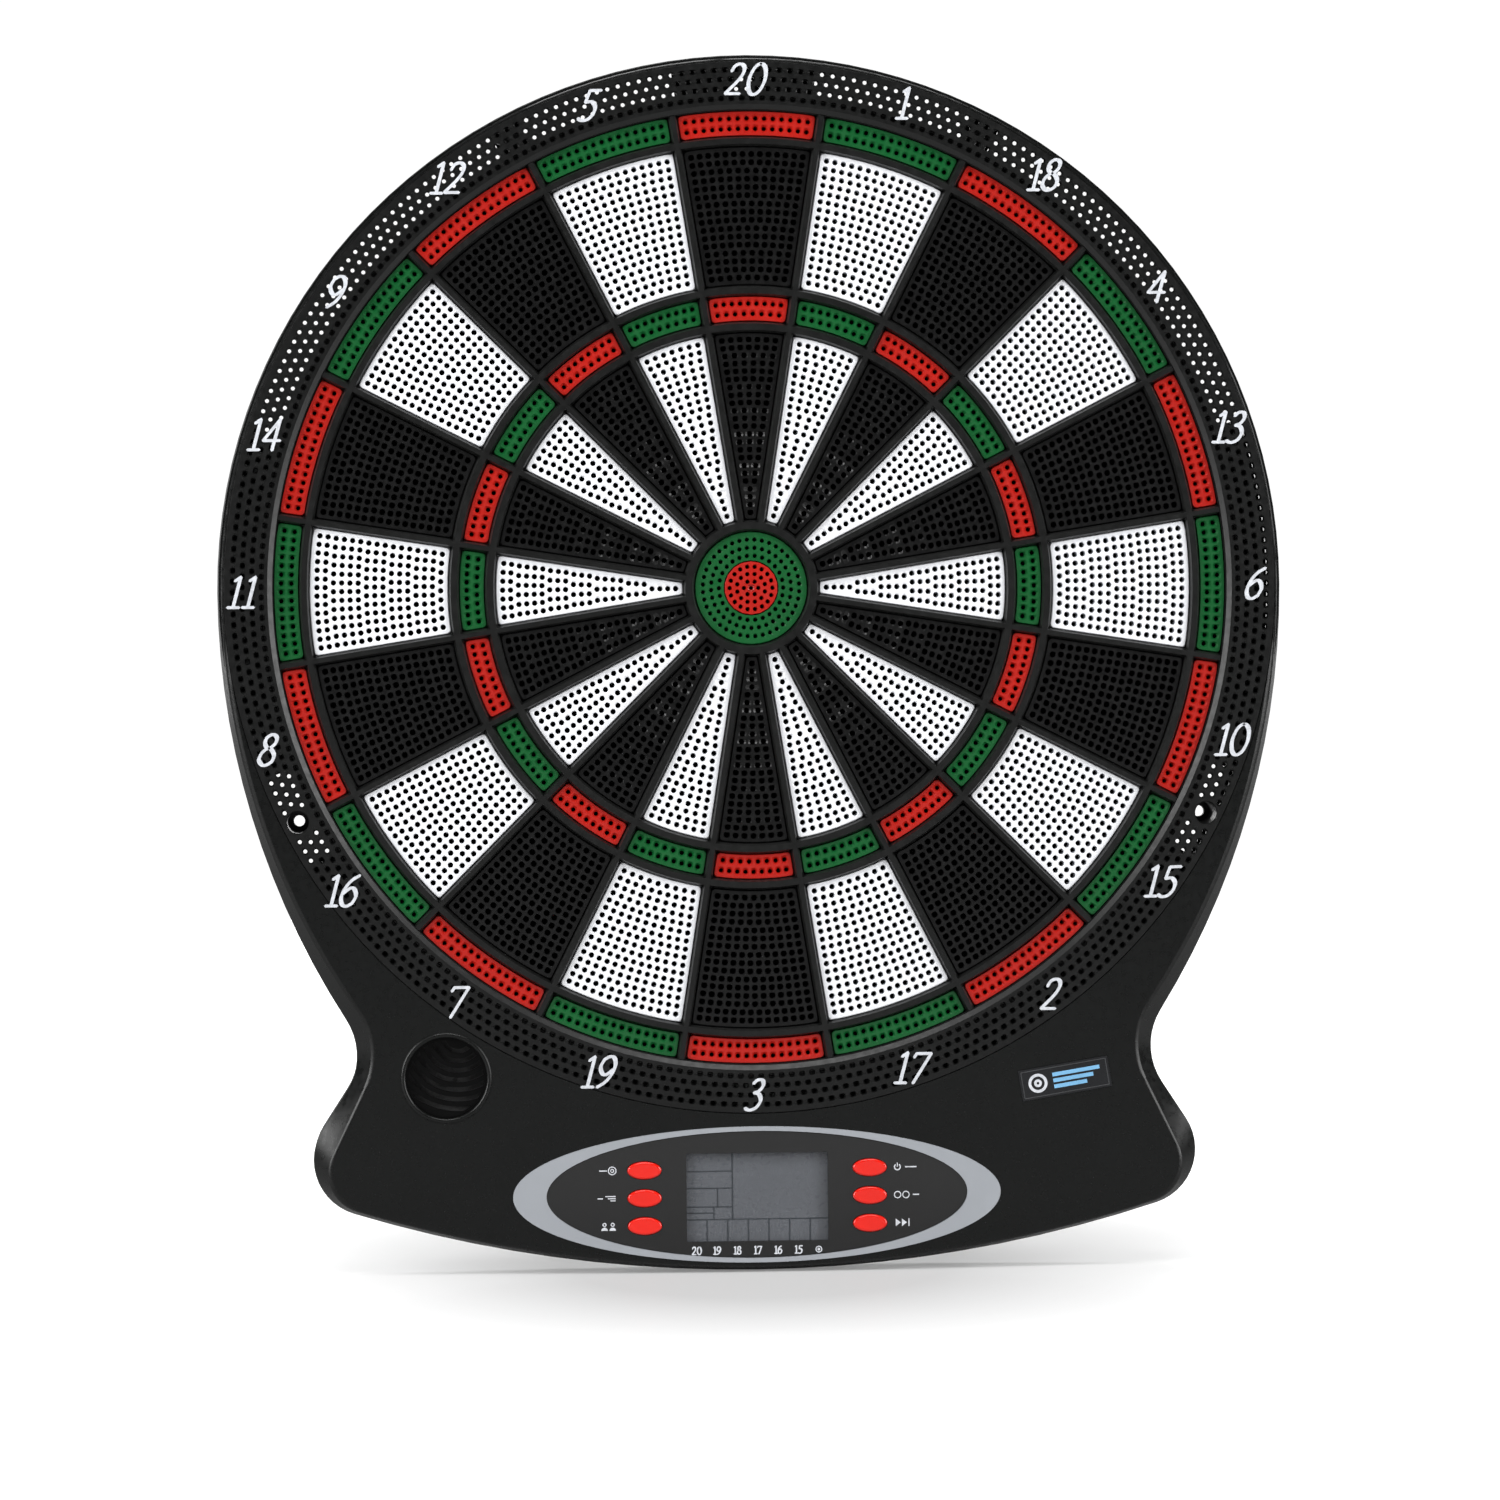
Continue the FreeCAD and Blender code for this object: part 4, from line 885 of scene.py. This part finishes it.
def smooth_path(points):
    """Catmull-Rom curve through the points; two points stay a straight run."""
    points = [Vector(p) for p in points]
    if len(points) == 2:
        return [points[0].lerp(points[1], i / STRAIGHT_STEPS) for i in range(STRAIGHT_STEPS + 1)]
    closed = points[0] == points[-1]
    before = points[-2] if closed else points[0] * 2 - points[1]
    after = points[1] if closed else points[-1] * 2 - points[-2]
    chain = [before, *points, after]
    path = []
    for a, b, c, d in zip(chain, chain[1:], chain[2:], chain[3:]):
        for i in range(CURVE_STEPS):
            t = i / CURVE_STEPS
            squared, cubed = (2 * a - 5 * b + 4 * c - d) * t**2, (3 * b - a - 3 * c + d) * t**3
            path.append(0.5 * (2 * b + (c - a) * t + squared + cubed))
    return [*path, points[-1]]


def pen_stroke(shell, path, thin, broad, front_y, back_y):
    """A raised ribbon along a path, as wide as a broad nib held at a fixed angle draws it."""
    left, right = [], []
    for i, here in enumerate(path):
        ahead = path[min(i + 1, len(path) - 1)] - path[max(i - 1, 0)]
        heading = math.atan2(ahead.y, ahead.x)
        half = max(thin, broad * abs(math.sin(heading - NIB_ANGLE))) / 2
        side = Vector((-math.sin(heading), math.cos(heading))) * half
        left.append(here + side)
        right.append(here - side)
    start = (path[0] - path[1]).normalized() * thin / 2
    end = (path[-1] - path[-2]).normalized() * thin / 2
    outline = [path[0] + start, *left, path[-1] + end, *reversed(right)]
    front = shell.loop([(p.x, p.y) for p in outline], front_y)
    back = shell.loop([(p.x, p.y) for p in outline], back_y)
    shell.band(front, back)
    count = len(path)
    for top, flip in ((front, False), (back, True)):
        tris = [(top[0], top[1], top[-1])]
        for i in range(1, count):
            tris.append((top[i], top[i + 1], top[-i - 1], top[-i]))
        tris.append((top[count], top[count + 1], top[count + 2]))
        for tri in tris:
            shell.face(reversed(tri) if flip else tri)


def digit_step(digit):
    """The room that a digit takes in a number."""
    return NARROW_STEP if digit == "1" else DIGIT_STEP


def numeral(shell, text, x, z, height, levels, nib=NIB, slant=SLANT):
    """A number centred on (x, z) between two levels of y, front and back."""
    pen = -sum(digit_step(digit) for digit in text) / 2
    thin, broad = (height * share for share in nib)
    front_y, back_y = levels
    lift = 0.0
    for digit in text:
        for stroke in DIGITS[digit]:
            path = []
            for p in smooth_path(stroke):
                u = (p.x + pen + slant * (p.y - 0.5) + DIGIT_OFFSET) * height
                path.append(Vector((x + u, z + (p.y - 0.5) * height)))
            pen_stroke(shell, path, thin, broad, front_y - lift, back_y)
            lift += STROKE_LIFT
        pen += digit_step(digit)


def make_numerals():
    """The twenty raised numbers round the target."""
    shell = Shell()
    for step, number in enumerate(NUMBERS):
        x, z = clock(NUMERAL_CIRCLE, 2 * HALF_WEDGE * step)
        numeral(shell, str(number), x, z, NUMERAL_HEIGHT, NUMERAL_LEVELS)
    dress(shell_object(shell, "ring_numerals", "number_white"), BOARD)


# ---------------------------------------------------------------- console print


def strip(shell, x_range, z_range, front_y, back_y):
    """A thin raised bar."""
    (x0, x1), (z0, z1) = x_range, z_range
    prism(shell, ((x0, z0), (x1, z0), (x1, z1), (x0, z1)), front_y, back_y)


def hoop(shell, x, z, radius, width, front_y, back_y, sides=32):
    """A raised ring; radius is the middle of its line."""
    outer, inner = radius + width / 2, radius - width / 2
    lathe(shell, ((inner, front_y), (outer, front_y), (outer, back_y), (inner, back_y)), x, z, sides)


# Signs beside the buttons: their height, their distance from the buttons on each side, and half a dash's width
LEGEND_LEVELS = (PANEL_Y - PRINT_THICKNESS, PANEL_Y - PRINT_GAP)
LEGEND_HEIGHT = 3.2
LEGEND_SHIFTS = (13.4, 11.6)
HALF_DASH = 0.25
# Row of field numbers under the display, ending in a small target
FIELD_MARKS = ("20", "19", "18", "17", "16", "15")
FIELD_MARKS_Z = -275.9
FIELD_MARK_HEIGHT = 3.2
FIELD_PITCH = 8.5


def dash(shell, x0, x1, z, half=HALF_DASH):
    """A level line of a sign."""
    strip(shell, (x0, x1), (z - half, z + half), *LEGEND_LEVELS)


def game_sign(shell, x, z):
    """A target and a dash."""
    hoop(shell, x, z, LEGEND_HEIGHT * 0.5, 0.42, *LEGEND_LEVELS)
    hoop(shell, x, z, LEGEND_HEIGHT * 0.2, 0.4, *LEGEND_LEVELS, 16)
    dash(shell, x - 5.4, x - 2.2, z)


def option_sign(shell, x, z):
    """Three lines, each shorter than the one above, and a dash."""
    for rise, reach in ((0.9, 4.2), (0.0, 3.2), (-0.9, 2.2)):
        dash(shell, x + 1.3 - reach, x + 1.3, z + rise, 0.22)
    dash(shell, x - 6.2, x - 4.0, z)


def player_sign(shell, x, z):
    """Two heads with shoulders."""
    shoulders = [clock(LEGEND_HEIGHT * 0.42, a) for a in range(-90, 91, 15)]
    for shift in (0.0, -3.4):
        hoop(shell, x + shift, z + LEGEND_HEIGHT * 0.22, LEGEND_HEIGHT * 0.2, 0.45, *LEGEND_LEVELS, 16)
        prism(shell, [(x + shift + u, z - LEGEND_HEIGHT * 0.55 + v) for u, v in shoulders], *LEGEND_LEVELS)


def power_sign(shell, x, z):
    """A ring open at the top with an upright bar in the gap, and a dash."""
    outer = [clock(LEGEND_HEIGHT * 0.46, a) for a in range(35, 326, 10)]
    inner = [clock(LEGEND_HEIGHT * 0.3, a) for a in range(325, 34, -10)]
    outline = [(x + u, z + v) for u, v in [*outer, *inner]]
    front, back = (shell.loop(outline, y) for y in LEGEND_LEVELS)
    shell.band(front, back)
    for points in (front, back):
        for i in range(len(outer) - 1):
            shell.face((points[i], points[i + 1], points[-i - 2], points[-i - 1]))
    strip(shell, (x - 0.2, x + 0.2), (z + 0.1, z + LEGEND_HEIGHT * 0.56), *LEGEND_LEVELS)
    dash(shell, x + 3.2, x + 8.0, z)


def double_sign(shell, x, z):
    """Two rings and a dash."""
    for shift in (0.0, 3.5):
        hoop(shell, x + shift, z, LEGEND_HEIGHT * 0.42, 0.4, *LEGEND_LEVELS)
    dash(shell, x + 6.4, x + 9.0, z)


def start_sign(shell, x, z):
    """Two arrowheads and an upright bar."""
    half = LEGEND_HEIGHT / 2
    for shift in (0.0, 2.6):
        prism(
            shell,
            ((x + shift - 0.9, z - half), (x + shift + 1.2, z), (x + shift - 0.9, z + half)),
            *LEGEND_LEVELS,
        )
    dash(shell, x + 4.4, x + 4.9, z, half)


def make_legends():
    """Generic signs beside the buttons and the field numbers under the display."""
    shell = Shell()
    left, right = LEGEND_SHIFTS
    for button, shift, sign in (
        ("game", -left, game_sign),
        ("option", -left, option_sign),
        ("player", -left, player_sign),
        ("power", right, power_sign),
        ("double", right, double_sign),
        ("start", right, start_sign),
    ):
        low, high = node_box(f"{button}_button")
        sign(shell, (low.x + high.x) / 2 + shift, (low.z + high.z) / 2)
    end = FIELD_PITCH * len(FIELD_MARKS) / 2
    for i, text in enumerate(FIELD_MARKS):
        x = FIELD_PITCH * i - end
        numeral(shell, text, x, FIELD_MARKS_Z, FIELD_MARK_HEIGHT, LEGEND_LEVELS, SMALL_NIB, slant=0.0)
    hoop(shell, end, FIELD_MARKS_Z, 1.2, 0.42, *LEGEND_LEVELS)
    hoop(shell, end, FIELD_MARKS_Z, 0.3, 0.6, *LEGEND_LEVELS, 12)
    dress(shell_object(shell, "console_legends", "number_white"), BOARD)


# Display: size of its picture, width and height of its lines, and shares of the picture where its fields meet,
# from the left and from the top
DISPLAY_SIZE = (59.0, 36.8)
DISPLAY_LINE = 0.5
DISPLAY_LINE_RISE = 0.12
FIELD_SPLIT, NARROW_SPLIT, NARROWEST_SPLIT = 0.326, 0.22, 0.194
FIELD_ROWS = (0.21, 0.403, 0.615)
LAST_ROW = 0.683
FIELD_BASE = 0.758
FOOT_START, FOOT_STEP, FOOT_LINES = 0.145, 0.146, 6


def make_display_print():
    """The fixed lines between the fields of the display."""
    shell = Shell()
    width, height = DISPLAY_SIZE
    left, top = -width / 2, (GLASS_LOW.z + GLASS_HIGH.z) / 2 + height / 2
    front, back = GLASS_LOW.y - DISPLAY_LINE_RISE, GLASS_LOW.y - PRINT_GAP
    half = DISPLAY_LINE / 2

    def across(share, end=1.0):
        """A level line from the left edge."""
        z = top - share * height
        strip(shell, (left, left + end * width), (z - half, z + half), front, back)

    def down(share, start, end):
        """An upright line, a little prouder than the level ones."""
        x = left + share * width
        strip(shell, (x - half, x + half), (top - end * height, top - start * height), front - PRINT_GAP, back)

    down(FIELD_SPLIT, 0.0, FIELD_BASE)
    across(FIELD_BASE)
    for share in FIELD_ROWS:
        across(share, FIELD_SPLIT)
    down(NARROW_SPLIT, FIELD_ROWS[1], FIELD_ROWS[2])
    down(NARROWEST_SPLIT, FIELD_ROWS[2], FIELD_BASE)
    across(LAST_ROW, NARROWEST_SPLIT)
    for i in range(FOOT_LINES):
        down(FOOT_START + FOOT_STEP * i, FIELD_BASE, 1.0)
    dress(shell_object(shell, "display_lines", "display_ink"), BOARD)


# Badge: its lean in degrees, half the frame's width and height, the frame's line, and the print's places
BADGE_TILT = 9.2
BADGE_HALF_SIZE = (17.9, 5.5)
BADGE_LINE = 0.35
BADGE_TARGET_X = -11.5
BADGE_TARGET = ((3.4, 1.2, 32), (1.1, 1.1, 20))
BADGE_BARS_X = -5.0
BADGE_BARS = ((2.5, 20.0), (0.0, 17.0), (-2.5, 14.0))
BADGE_BAR_HALF = 0.8


def make_badge():
    """A thin frame, a small target and three bars on the badge plate."""
    cx, cz = (BADGE_LOW.x + BADGE_HIGH.x) / 2, (BADGE_LOW.z + BADGE_HIGH.z) / 2
    c, s = math.cos(math.radians(BADGE_TILT)), math.sin(math.radians(BADGE_TILT))
    front, back = BADGE_LOW.y - PRINT_THICKNESS, BADGE_LOW.y - PRINT_GAP
    white, blue, edge = Shell(), Shell(), Shell()
    (half_x, half_z), half_line = BADGE_HALF_SIZE, BADGE_LINE / 2
    for z in (-half_z, half_z):
        strip(edge, (-half_x, half_x), (z - half_line, z + half_line), front, back)
    for x in (-half_x, half_x):
        strip(edge, (x - half_line, x + half_line), (-half_z, half_z), front - PRINT_GAP, back)
    for radius, width, sides in BADGE_TARGET:
        hoop(white, BADGE_TARGET_X, 0.0, radius, width, front, back, sides)
    for z, reach in BADGE_BARS:
        strip(blue, (BADGE_BARS_X, reach + BADGE_BARS_X), (z - BADGE_BAR_HALF, z + BADGE_BAR_HALF), front, back)
    for shell in (edge, white, blue):
        shell.points = [(cx + x * c - z * s, y, cz + x * s + z * c) for x, y, z in shell.points]
    dress(shell_object(edge, "badge_frame", "badge_edge"), BOARD)
    dress(shell_object(white, "badge_print", "number_white"), BOARD)
    dress(shell_object(blue, "badge_bars", "badge_blue"), BOARD)


# ---------------------------------------------------------------- CAD parts, stage, light and camera


def dress_cad_parts():
    """Gives every CAD node that stays the material of its slot; the sunken grille gets a darker, less glossy copy of
    the casing black as painted shade of its recess.
    """
    for part in frame["record"]["subparts"]:
        obj = NODES[part["node"]]
        name = "grille_black_painted_shade" if part["node"] == "speaker_grille" else part["material_slot"]
        for slot in obj.material_slots:
            slot.material = MATERIALS[name]


def area_light(name, place, size, power):
    """A soft box that faces the middle of the board."""
    data = bpy.data.lights.new(name, "AREA")
    data.shape = "RECTANGLE"
    data.size, data.size_y = size
    data.energy = power
    light = bpy.data.objects.new(name, data)
    light.location = place
    light.rotation_euler = (Vector(LIGHT_AIM) - Vector(place)).to_track_quat("-Z", "Y").to_euler()
    bpy.context.scene.collection.objects.link(light)


def make_stage():
    """A pale floor that the board's foot touches, a bright surround and soft boxes."""
    bm = bmesh.new()
    bmesh.ops.create_grid(bm, x_segments=24, y_segments=24, size=FLOOR_HALF_SIZE)
    floor = finish_mesh(bm, "floor", "floor_pale")
    floor.location.z = CAD_BOX[0].z - FLOOR_DROP

    world = bpy.data.worlds.new("studio")
    bpy.context.scene.world = world
    world.use_nodes = True
    tree = world.node_tree
    background = tree.nodes["Background"]
    seen = tree.nodes.new("ShaderNodeLightPath").outputs["Is Camera Ray"]
    tree.links.new(remap(tree, seen, SURROUND_LIT, SURROUND_SEEN, 0.0, 1.0), background.inputs["Strength"])
    background.inputs["Color"].default_value = (1.0, 1.0, 1.0, 1.0)

    for name, (place, size, power) in LIGHTS.items():
        area_light(name, place, size, power)


def make_camera():
    """Nearly square on to the front, a little from the left and above, with the slight lean of the view."""
    azimuth, elevation, lean = (math.radians(angle) for angle in (VIEW_AZIMUTH, VIEW_ELEVATION, VIEW_LEAN))
    data = bpy.data.cameras.new("camera")
    data.sensor_width = 36.0
    data.lens = data.sensor_width * CAMERA_DISTANCE / VIEW_WIDTH
    data.clip_end = 50.0
    camera = bpy.data.objects.new("camera", data)
    turn, tip = Matrix.Rotation(azimuth, 3, "Z"), Matrix.Rotation(math.radians(90) - elevation, 3, "X")
    view = turn @ tip @ Matrix.Rotation(-lean, 3, "Z")
    camera.rotation_euler = view.to_euler()
    camera.location = Vector(CAMERA_AIM) + view @ Vector((0.0, 0.0, CAMERA_DISTANCE))
    bpy.context.scene.collection.objects.link(camera)
    bpy.context.scene.camera = camera


dress_cad_parts()
make_target()
make_ring_plate()
make_ring_back()
make_ring_bumps()
make_numerals()
make_legends()
make_display_print()
make_badge()
make_stage()
make_camera()
bpy.context.scene.view_settings.view_transform = "Standard"
